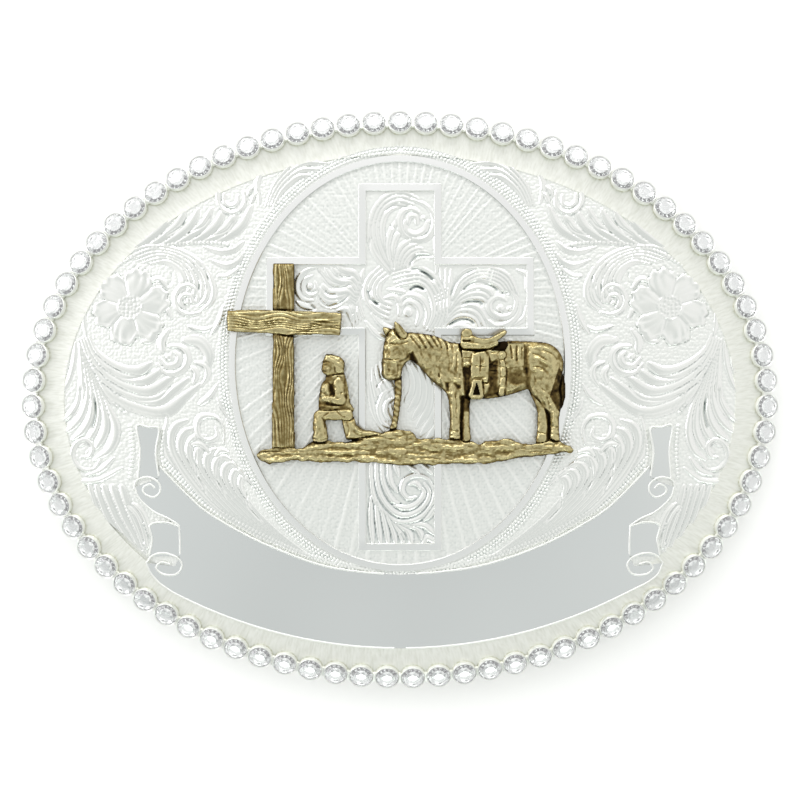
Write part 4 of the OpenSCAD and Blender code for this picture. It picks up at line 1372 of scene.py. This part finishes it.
# Painted shade over the face: it darkens without sinking.
sink([(321, 361.6), (331, 362), (333.6, 369), (331, 375), (321, 373)], 0.0, 0.22)
strokes([[(323.8, 362.4), (327, 361.9), (330.4, 363)], [(325, 365), (328, 365.4)],
         [(323, 371.6), (326.6, 372)], [(333.4, 363), (335.2, 368), (335.6, 373)]], 0.65, -0.12)
strokes([[(323, 363.4), (322, 368)], [(328.6, 367.6), (329.4, 371.6)]], 1.1, 0.08)
strokes([[(333, 376.8), (338, 375.9), (344, 375.6)]], 1.1, 0.14)
sleeve = limbs([(338.4, 382, 5.2), (339.6, 390, 4.9), (341.2, 398, 4.8)],
               [(342, 400.4, 4), (334, 400.2, 3.5), (326.4, 398.6, 3.1)],
               [(325, 397.6, 3.5), (323.6, 395.4, 3)], blend=0.5) + 0.1 * lumps(0.7, 46)
lay(sleeve, swell(sleeve, 1.35, 0.45, 1.1), 0.16)
strokes([[(334.6, 387), (339, 389)], [(338, 394), (344, 392)], [(330, 398.6), (331.6, 402)]], 1.0,
        -0.09)
strokes([[(336.5, 379.5), (341, 381)], [(328, 396.8), (336, 398.4)]], 1.5, 0.07)
strokes([[(342, 392), (341, 397), (337, 399)], [(321, 398), (326, 396), (328, 400)]], 0.8, -0.12)
thigh = limbs([(348.6, 414.6, 5.6), (335, 414.9, 5.2), (320.4, 415.4, 5.8)],
              [(320, 416, 6), (320, 424, 6.6), (320.6, 432, 7.3), (321, 437.5, 8)], blend=0.25)
thigh = thigh + 0.1 * lumps(0.9, 47)
lay(thigh, swell(thigh, 1.15, 0.55, 1.25), 0.18)
strokes([[(337, 410.5), (341, 415), (346, 417)], [(322, 417), (325, 421), (326, 428)],
         [(330, 412), (324, 416)], [(312.6, 438.2), (321, 440), (329.6, 438.4)]], 0.9, -0.15)
strokes([[(318, 411.4), (330, 411.6), (348, 411)], [(317, 420), (317.4, 429), (315.6, 436)],
         [(322, 428), (324.4, 436)]], 1.2, 0.09)
print("the figure rises to", round(float(cast.h[head < 0].max()), 2), "mm at the head")

# %% [markdown]
# The horse stands with its head low and its reins on the ground. The great masses come first:
# head, neck, barrel, haunch and the near legs in one blended form. The far legs, the far ear
# and the tail lie behind it. Its surface keeps the lumps of the wax that it was modelled in.

# %% Horse in its masses
tail = patch([(558, 368), (563, 376), (564.6, 386), (564.4, 397), (562, 406), (558.4, 411.5),
              (554, 405), (549, 396)], 0.05)
lay(tail, swell(tail, 0.85, 0.3, 0.7) + 0.04 * np.sin(cast.X * 13 + lumps(1.5, 32)))
patina_and_shade[tail < 0] = 0.62
far_legs = limbs([(465, 388, 7), (464.6, 404, 5.2), (464.6, 416, 5), (464.8, 428, 5),
                  (465.4, 438, 5.4)],
                 [(536, 388, 9), (540, 402, 6.6), (542.6, 413, 6.4), (543, 424, 6.8),
                  (542.6, 434, 7), (542, 440, 7.4)])
lay(far_legs, swell(far_legs, 0.9, 0.5, 0.8) + 0.05 * lumps(0.6, 48))
far_ear = limbs([(394, 337, 6), (388.6, 333, 4.8), (384.6, 329.4, 2.2)])
lay(far_ear, swell(far_ear, 1.1, 0.45, 0.6))
reins = limbs([(398, 378, 4.3), (398.4, 392, 3.8), (397, 405, 3.7), (395.6, 418, 3.4),
               (393, 430, 3.8)])
twist = 0.06 * np.sin(cast.Y * 8 + cast.X * 4)
lay(reins, swell(reins, 0.95, 0.42, 0.5) + twist + 0.04 * lumps(0.4, 49))
patina_and_shade[reins < 0] = 0.2
body = limbs([(396.5, 338, 9.8), (396, 346, 12.4), (395, 355, 12.6), (392.8, 365, 11),
              (391.6, 371, 9.8)], [(386.4, 374.6, 4.6), (396.4, 374.6, 4.8)],
             [(402, 350, 9.5), (403, 356, 7)],
             [(404, 342, 10), (417, 347.5, 14.2), (431, 354, 18.2), (447, 366, 22)],
             [(445, 376, 8), (446, 385, 6)],
             [(455, 366, 23), (475, 371, 27.8), (495, 370, 27.8), (512, 367, 26), (528, 364.5, 23),
              (540, 364, 21.6)], [(541, 366, 21.5), (543, 383, 16), (547, 396, 10), (551, 406, 7)],
             [(550, 398, 9.5), (553.5, 410, 6), (553.5, 420, 4.8), (553.6, 430, 4.9),
              (554, 439, 5.2)],
             [(453, 386, 9.6), (454, 396, 7.2), (454.8, 406, 6.4), (454.8, 416, 5.9),
              (454.4, 428, 5.6), (454.4, 439, 6)], blend=0.5)
form = swell(body, 1.05, 0.86, 1.7)
for muscle, rise in (([(541, 362, 17), (545, 378, 12)], 0.18),
                     ([(452, 362, 13), (450, 376, 8)], 0.15),
                     ([(394, 350, 9), (397, 356, 7)], 0.1),
                     ([(480, 376, 20), (505, 372, 18)], 0.08)):
    mass = limbs(muscle)
    form = form + rise * np.sqrt(np.clip(-mass / 1.4, 0, 1))
form = form + 0.07 * lumps(0.95, 44) + 0.05 * lumps(0.42, 50)
lay(body, form, 0.16)
ear = limbs([(402.5, 335.5, 4.8), (398.5, 329, 4), (395.4, 323.4, 1.7)])
lay(ear, swell(ear, 1.5, 0.4, 0.6), 0.1)
strokes([[(395.4, 325), (398, 330), (402.4, 335.6)]], 1.5, 0.12)
strokes([[(398.6, 327), (401.6, 331), (405, 336)]], 0.8, -0.1)
print("the horse rises to", round(float(cast.h[body < 0].max()), 2), "mm")

# %% [markdown]
# Locks, straps and folds are lines that are raised or cut in the finished masses. Where the
# body is sunk, as between the legs, the patina settles.

# %% Mane, bridle, folds and creases of the horse
strokes([[(412, 334), (418, 341), (423, 348)], [(419, 334), (425, 341), (429, 349)],
         [(426, 335.5), (431, 342), (436, 349)], [(432.5, 336.5), (437, 342.5), (440, 348)],
         [(438.8, 338), (443, 343), (445, 349)], [(446, 341), (449, 346), (450, 352)]], 1.7, 0.17)
strokes([[(410, 336), (416, 344), (421, 350)], [(416, 332.5), (422, 342), (426.5, 350)],
         [(423, 334), (428, 342), (433, 349)], [(429.6, 335), (435, 343), (438, 348)],
         [(436, 336.5), (440, 344), (441.6, 350)], [(443, 338.5), (446.4, 345), (447, 351)]], 0.85,
        -0.16)
strokes([[(390, 342.6), (398, 340.6), (406, 339.8)], [(383.4, 361.4), (390, 361.8), (397.6, 361.4)],
         [(384.4, 364), (384.8, 376)], [(385, 377.6), (396, 377.8)],
         [(386, 331.6), (391, 333.4), (393, 337)], [(396, 324.6), (399, 330)],
         [(383.6, 346), (386.6, 350)]], 1.2, 0.13)
strokes([[(385, 341.8), (387.6, 344.6)], [(394, 330), (396, 335), (401, 338.4), (406, 338.8)],
         [(389, 343.8), (399, 344.6), (409, 342)], [(383, 359.6), (391, 360), (400, 359)],
         [(397.6, 364), (398, 372), (396, 377)], [(398.6, 362), (406, 359.4), (410, 353)],
         [(388, 369), (390, 371.6)], [(386, 374.6), (393, 375)]], 0.9, -0.12)
sink([(386.8, 365), (395.4, 365), (395.4, 373), (387, 373)], 0.06, 0.16)
sink([(409.4, 354), (412.6, 351.6), (416.6, 360), (418, 364), (410, 364)], 0.3, 0.55)
sink([(386, 350), (402, 347), (406, 352), (398, 358), (387, 358)], 0.03, 0.1)
strokes([[(420, 353), (424.6, 360), (430, 366)], [(427, 354), (431, 358)]], 1.3, -0.07)
strokes([[(453.4, 343), (454.6, 356), (452.6, 370)], [(449, 378.4), (455, 379.4), (461, 380)],
         [(440.6, 375), (441.6, 380), (444, 387)], [(457, 350), (458.6, 362), (458, 374)]], 1.3,
        0.13)
strokes([[(459.6, 341), (460.6, 350), (463.6, 362)], [(438.6, 373), (438.6, 378)]], 0.95, -0.2)
strokes([[(447, 352), (449, 362), (447.6, 374)], [(456, 354), (456, 364), (455, 373)]], 1.1, -0.07)
sink([(444.6, 382), (449, 382.6), (448.6, 392), (446.6, 391)], 0.2, 0.45)
sink([(453.6, 383), (461, 384.6), (461, 389), (457.4, 389.6)], 0.2, 0.45)
strokes([[(451.6, 384), (452.4, 392), (452, 404)], [(458, 392), (458.6, 405), (458.4, 420)],
         [(452, 408), (452, 420), (452.4, 432)]], 1.0, 0.1)
strokes([[(455, 392), (455.6, 406), (455.4, 420)], [(450, 430), (459, 431)],
         [(449.6, 435), (459.6, 436)]], 0.85, -0.14)
sink([(460.6, 396), (464.6, 396), (464.4, 411), (463.4, 440), (460.4, 440)], 0.1, 0.6)
sink([(461, 396), (470, 396), (469, 412), (462, 412)], 0.08, 0.6)
strokes([[(531, 348), (543, 347.6), (556, 354)], [(532, 358), (541, 360), (550, 366)],
         [(532, 370), (541, 372), (546, 378)], [(535, 382), (539, 389), (545, 396)],
         [(536, 392), (541, 402), (544.6, 412)], [(551, 402), (552.6, 411), (552, 424)]], 1.4, 0.12)
strokes([[(530, 353), (538, 355.6), (547, 361.6)], [(540, 350.6), (549, 353), (556.6, 360)],
         [(530.6, 366.4), (540, 367.6), (547, 373)], [(533, 377), (537, 385), (544, 391)],
         [(533.6, 388), (539, 397), (544, 406)], [(546, 396), (547.6, 404), (549, 410)],
         [(549.6, 426), (557, 427)], [(549.4, 433.6), (559, 434)], [(536.6, 432), (545, 433)]], 1.0,
        -0.12)
sink([(543.4, 408), (546.4, 410), (549, 422), (548.6, 440), (544.6, 440), (546.4, 426)], 0.2, 0.62)
sink([(522.8, 346), (527.6, 346), (528.6, 372), (529.4, 390), (523.4, 388)], 0.22, 0.36, 0.8)
print("deepest patina so far", round(float(patina_and_shade.max()), 2))

# %% [markdown]
# The strip of ground joins post, figure and horse, so that all of them are one casting. It is
# rough like pressed clay, in lumps of three sizes.

# %% Ground
land = patch([(257, 455), (262, 450), (272, 448), (290, 446), (303, 448), (312, 442), (330, 441),
              (345, 441), (362, 437.6), (380, 434), (390, 429.5), (400, 429), (410, 431),
              (417, 437), (430, 438), (445, 438), (458, 440), (470, 441), (480, 443), (495, 439),
              (505, 438), (520, 442), (535, 443), (548, 440), (560, 440), (566, 445), (573, 449),
              (571, 452), (560, 453), (545, 455), (520, 458), (500, 461), (480, 463.5),
              (450, 464.5), (420, 465), (395, 464), (370, 463), (340, 461), (320, 462), (300, 460),
              (285, 462), (270, 464), (262, 462), (257, 458)])
land = land + 0.2 * lumps(0.9, 31)
soil = swell(land, 0.95, 0.45, 0.9)
for height, size, seed, stretch in ((0.16, 2.4, 33, 0.25), (0.11, 1.2, 34, 0.3),
                                    (0.06, 0.5, 35, 0.35)):
    soil = soil + height * lumps(size, seed, stretch)
soil = soil + 0.16 * np.exp(-((land + 0.45) / 0.25) ** 2) * (cast.Y < -7.2)
lay(land, soil, 0.1)
patina_and_shade[land < 0] = 0
sink([(347, 438.4), (363, 438), (364, 440.6), (346, 441.6)], 0.3, 0.8)
sink([(387, 428), (397, 427.6), (398, 431), (386, 432)], 0.16, 0.6)
sink([(300, 441), (312, 440), (313, 444), (300, 447)], 0.12, 0.4)
print("the ground rises to", round(float(cast.h[land < 0].max()), 2), "mm")

# %% [markdown]
# The saddle is built on the finished horse: blanket, skirt and seat, then the fender with its
# stirrup, the two cinches and the round concho.

# %% Saddle
blanket = patch([(461, 345), (506, 344), (523, 343.6), (522.6, 366), (506, 368), (490, 364),
                 (463, 366)])
lay(blanket, np.maximum(cast.h, 1.82) + 0.04 + 0.03 * lumps(0.5, 51), 0.1)
strokes([[(509.6, 344), (510.4, 352), (511.4, 360)], [(516, 345), (515.6, 354), (516, 362)],
         [(521, 347), (521, 356)]], 0.9, -0.17)
strokes([[(513, 345), (513, 353), (513.6, 361)], [(518.6, 345), (518.4, 354), (518.6, 364)],
         [(507, 340), (508, 352)]], 1.1, 0.1)
sink([(506, 372), (514, 370), (523, 371), (524, 384), (515, 388), (507.6, 385)], 0.08, 0.36, 1.3)
strokes([[(508, 385), (516, 386), (523, 384)], [(497, 392), (508, 390), (518, 386.6)]], 1.4, 0.12)
skirt = patch([(462, 351), (497, 350), (498, 358), (489, 364), (471, 366), (463, 362)], 0.1)
lay(skirt, swell(skirt, 1.85, 0.14, 0.3) + 0.04 * lumps(0.5, 52), 0.12)
sink([(462, 367), (470.4, 367), (469.6, 398), (465, 399), (462.6, 388)], 0.32, 0.55)
sink([(488.6, 361), (497.6, 360), (497, 395), (484, 398), (488, 386)], 0.24, 0.46)
strokes([[(462.6, 364), (470, 364.4)]], 1.1, 0.16)
under_cantle = patch([(491, 350.8), (506, 336.4), (506.8, 346), (504, 351)])
cast.h[under_cantle < 0] = 1.45
patina_and_shade[under_cantle < 0.05] = 0.9
cinch = limbs([(501.4, 360, 2.8), (502.4, 370, 3.1), (502, 382, 3), (500.4, 393, 3.2)])
lay(cinch, swell(cinch, 1.75, 0.32, 0.35) + 0.04 * lumps(0.4, 53), 0.2)
fender = patch([(472, 354), (484, 352), (487.6, 357), (487.6, 369), (486.6, 382), (475, 382),
                (471, 377), (471, 360)], 0.12)
lay(fender, swell(fender, 1.85, 0.28, 0.6) + 0.05 * lumps(0.6, 54), 0.2)
stirrup = patch([(472.5, 380.5), (480.6, 380.5), (482.4, 395.6), (480, 399), (471, 399),
                 (468.4, 395.6)], 0.12)
lay(stirrup, swell(stirrup, 1.8, 0.38, 0.4), 0.22)
eye = patch([(476, 384), (473, 394), (478.8, 394)], 0.06)
cast.h[eye < 0] = 1.35
patina_and_shade[eye < 0.05] = 0.9
seat = limbs([(466, 334.8, 5.8), (465, 341, 5.4)],
             [(464, 345.4, 4), (474, 346.4, 3.7), (486, 346.2, 3.3), (495, 344, 2.8)],
             [(471, 339, 3.8), (480, 342, 3.6), (490, 341, 3.4), (498, 336.8, 3.3),
              (504, 333, 2.6)], blend=0.3)
lay(seat, swell(seat, 1.85, 0.45, 0.7), 0.24)
horn = limbs([(465.4, 333.8, 4.6), (468, 333.4, 4)])
lay(horn, swell(horn, 2.08, 0.22, 0.6), 0.16)
strokes([[(461.6, 341.2), (466, 341.4), (470.4, 341)], [(466, 350), (474, 350.6), (486, 350.2)]],
        0.95, -0.34)
strokes([[(462, 345), (470, 346.4), (478, 347)], [(480, 347.4), (490, 345.6)]], 0.7, -0.14)
strokes([[(462, 343.4), (470, 344.4), (478, 345.4)],
         [(474, 338.4), (486, 340), (495, 337), (502.6, 332.4)]], 0.9, 0.09)
concho = limbs([(501, 355.4, 4), (501.1, 355.5, 4)])
lay(concho, swell(concho, 1.95, 0.26, 0.45), 0.22)
hub_x, hub_y = paper((501, 355.4))[0]
hub = np.hypot(cast.X - hub_x, cast.Y - hub_y)
cast.h -= 0.14 * np.exp(-((hub - 0.32) / 0.1) ** 2)
strokes([[(473, 377.6), (486, 377.6)], [(474, 366), (486, 367)],
         [(479.4, 356), (480, 364), (479, 373)], [(499, 367), (505, 367.4)],
         [(499.5, 377), (505, 377)], [(498, 387), (504, 387)], [(462.6, 358), (471, 358)],
         [(490, 353), (497, 352)], [(489, 371), (496, 371)]], 0.85, -0.15)
strokes([[(474, 380.6), (482, 381)], [(470.6, 397), (481, 397.4)], [(484, 357), (484, 368)]], 0.9,
        0.1)
print("the saddle rises to", round(float(cast.h[seat < 0].max()), 2), "mm")

# %% [markdown]
# The casting is rubbed back by hand, so the patina is what the cloth couldn't reach. A point is
# dark where it lies below its surroundings or was sunk, and painted shade darkens the figure's
# face and the front of its neck. The skin of the metal is a little lumpy everywhere but on the
# wood, which has its grain.

# %% Patina map and the solid
CAST_BOTTOM = 0.46
skin = solid_part & (beam > 0) & (post > 0)
cast.h += skin * (0.045 * lumps(0.6, 61) + 0.03 * lumps(0.24, 62))
recess_map = np.clip(0.15 + 0.5 * hollows(cast, solid_part, 0.2, 0.5) + patina_and_shade, 0, 1)
print("share of dark patina", round(float((recess_map > 0.5)[solid_part].mean()), 3))
solid("brass_casting", cast, solid_part, CAST_BOTTOM, "figure_overlay", brass,
      {"recess": (recess_map, 0.2)}, even=2, sharp=60)

# %% [markdown]
# ## Camera, floor and light
# The photograph looks straight down on the face from far off, so the camera hangs above it with
# a long lens. Jewellery is lit in a white tent: big soft lamps low all round make the slopes
# white, and the calmer ceiling is what the flat polished places mirror.

# %% Camera
LENS, SENSOR = 200, 36
SHARP_Z = 9.5  # the height at which the picture has the drawing's scale
camera_data = bpy.data.cameras.new("camera")
camera_data.lens = LENS
camera_data.sensor_width = SENSOR
camera = bpy.data.objects.new("camera", camera_data)
bpy.context.collection.objects.link(camera)
view_width = 2 * MIDDLE * UNIT
camera.location = (0, 0, (view_width * LENS / SENSOR + SHARP_Z) * MM)
bpy.context.scene.camera = camera
print("camera at", round(camera.location.z, 3), "m")

# %% [markdown]
# The buckle lies on a wide sheet of white paper, which throws light up on its sides. The sheet
# is not joined to the part.

# %% Floor
PAPER_HALF = 3.0  # metres from the middle to a side
floor_mesh = bpy.data.meshes.new("floor")
corners = [(PAPER_HALF * a, PAPER_HALF * b, 0) for a, b in ((-1, -1), (1, -1), (1, 1), (-1, 1))]
floor_mesh.from_pydata(corners, [], [[0, 1, 2, 3]])
floor = bpy.data.objects.new("floor", floor_mesh)
bpy.context.collection.objects.link(floor)
paper_white, tree, shader = material("white_sweep_paper")
shader.inputs["Base Color"].default_value = paint("#fbfbfa")
shader.inputs["Roughness"].default_value = 0.9
floor_mesh.materials.append(paper_white)

# %% [markdown]
# The tent is a world whose brightness depends on the direction alone. A pale grey patch lies
# almost straight above, white is round it, and it darkens toward the near horizon and below.
# Three long lamps stand low on three sides of the buckle. A fourth hangs above it and lights the
# paper, but no metal mirrors it.

# %% Light tent
world = bpy.data.worlds.new("tent")
world.use_nodes = True
tree = world.node_tree
direction = add(tree, "TexCoord").outputs["Generated"]
toward_operator = add(tree, "VectorMath", {1: (-0.03, -0.2, 0.979)}, {0: direction},
                      operation="DOT_PRODUCT")
ceiling = add(tree, "ValToRGB", None, {"Fac": toward_operator.outputs["Value"]})
stops = ceiling.color_ramp.elements
stops[0].position, stops[0].color = 0.78, paint("#ffffff")
stops[1].position, stops[1].color = 1.0, paint("#dfe2e1")
for place, code in ((0.9, "#f2f4f2"), (0.95, "#e3e6e5")):
    stops.new(place).color = paint(code)
above = add(tree, "VectorMath", {1: (0.0, 0.6, 0.8)}, {0: direction},
            operation="DOT_PRODUCT").outputs["Value"]
above = add(tree, "Math", {1: 0.5, 2: 0.5}, {0: above}, operation="MULTIPLY_ADD").outputs[0]
sides = add(tree, "ValToRGB", None, {"Fac": above})
stops = sides.color_ramp.elements
stops[0].position, stops[0].color = 0.2, paint("#5c6362")
stops[1].position, stops[1].color = 0.58, paint("#ffffff")
stops.new(0.42).color = paint("#a6acaa")
tent = add(tree, "Mix", {"Factor": 1.0}, {6: ceiling.outputs["Color"], 7: sides.outputs["Color"]},
           data_type="RGBA", blend_type="MULTIPLY")
cloth = add(tree, "TexNoise", {"Scale": 3.2, "Detail": 1.0}, {"Vector": direction}).outputs["Fac"]
uneven = add(tree, "MapRange", {"From Min": 0.3, "From Max": 0.7, "To Min": 0.86, "To Max": 0.96},
             {"Value": cloth})
tree.links.new(tent.outputs[2], tree.nodes["Background"].inputs["Color"])
tree.links.new(uneven.outputs["Result"], tree.nodes["Background"].inputs["Strength"])
bpy.context.scene.world = world
bpy.context.scene.view_settings.view_transform = "Standard"


def softbox(name, place, size, watts, tint):
    """A rectangular lamp that looks at the buckle."""
    lamp = bpy.data.lights.new(name, "AREA")
    lamp.shape = "RECTANGLE"
    lamp.size, lamp.size_y = size
    lamp.energy = watts
    lamp.color = paint(tint)[:3]
    made = bpy.data.objects.new(name, lamp)
    bpy.context.collection.objects.link(made)
    made.location = place
    made.rotation_euler = (-Vector(place)).to_track_quat("-Z", "Y").to_euler()
    return made


softbox("lamp_far", (0.0, 1.0, 0.5), (1.2, 0.3), 4.0, "#ffffff")
softbox("lamp_near", (0.0, -1.0, 0.45), (1.2, 0.25), 2.0, "#f4fbf6")
softbox("lamp_left", (-1.0, 0.3, 0.5), (0.8, 0.3), 2.5, "#fbfaff")
fill = softbox("floor_fill", (0.0, 0.0, 1.6), (1.6, 1.6), 10.0, "#ffffff")
fill.visible_glossy = False
print("lamps", [light.name for light in bpy.data.lights])
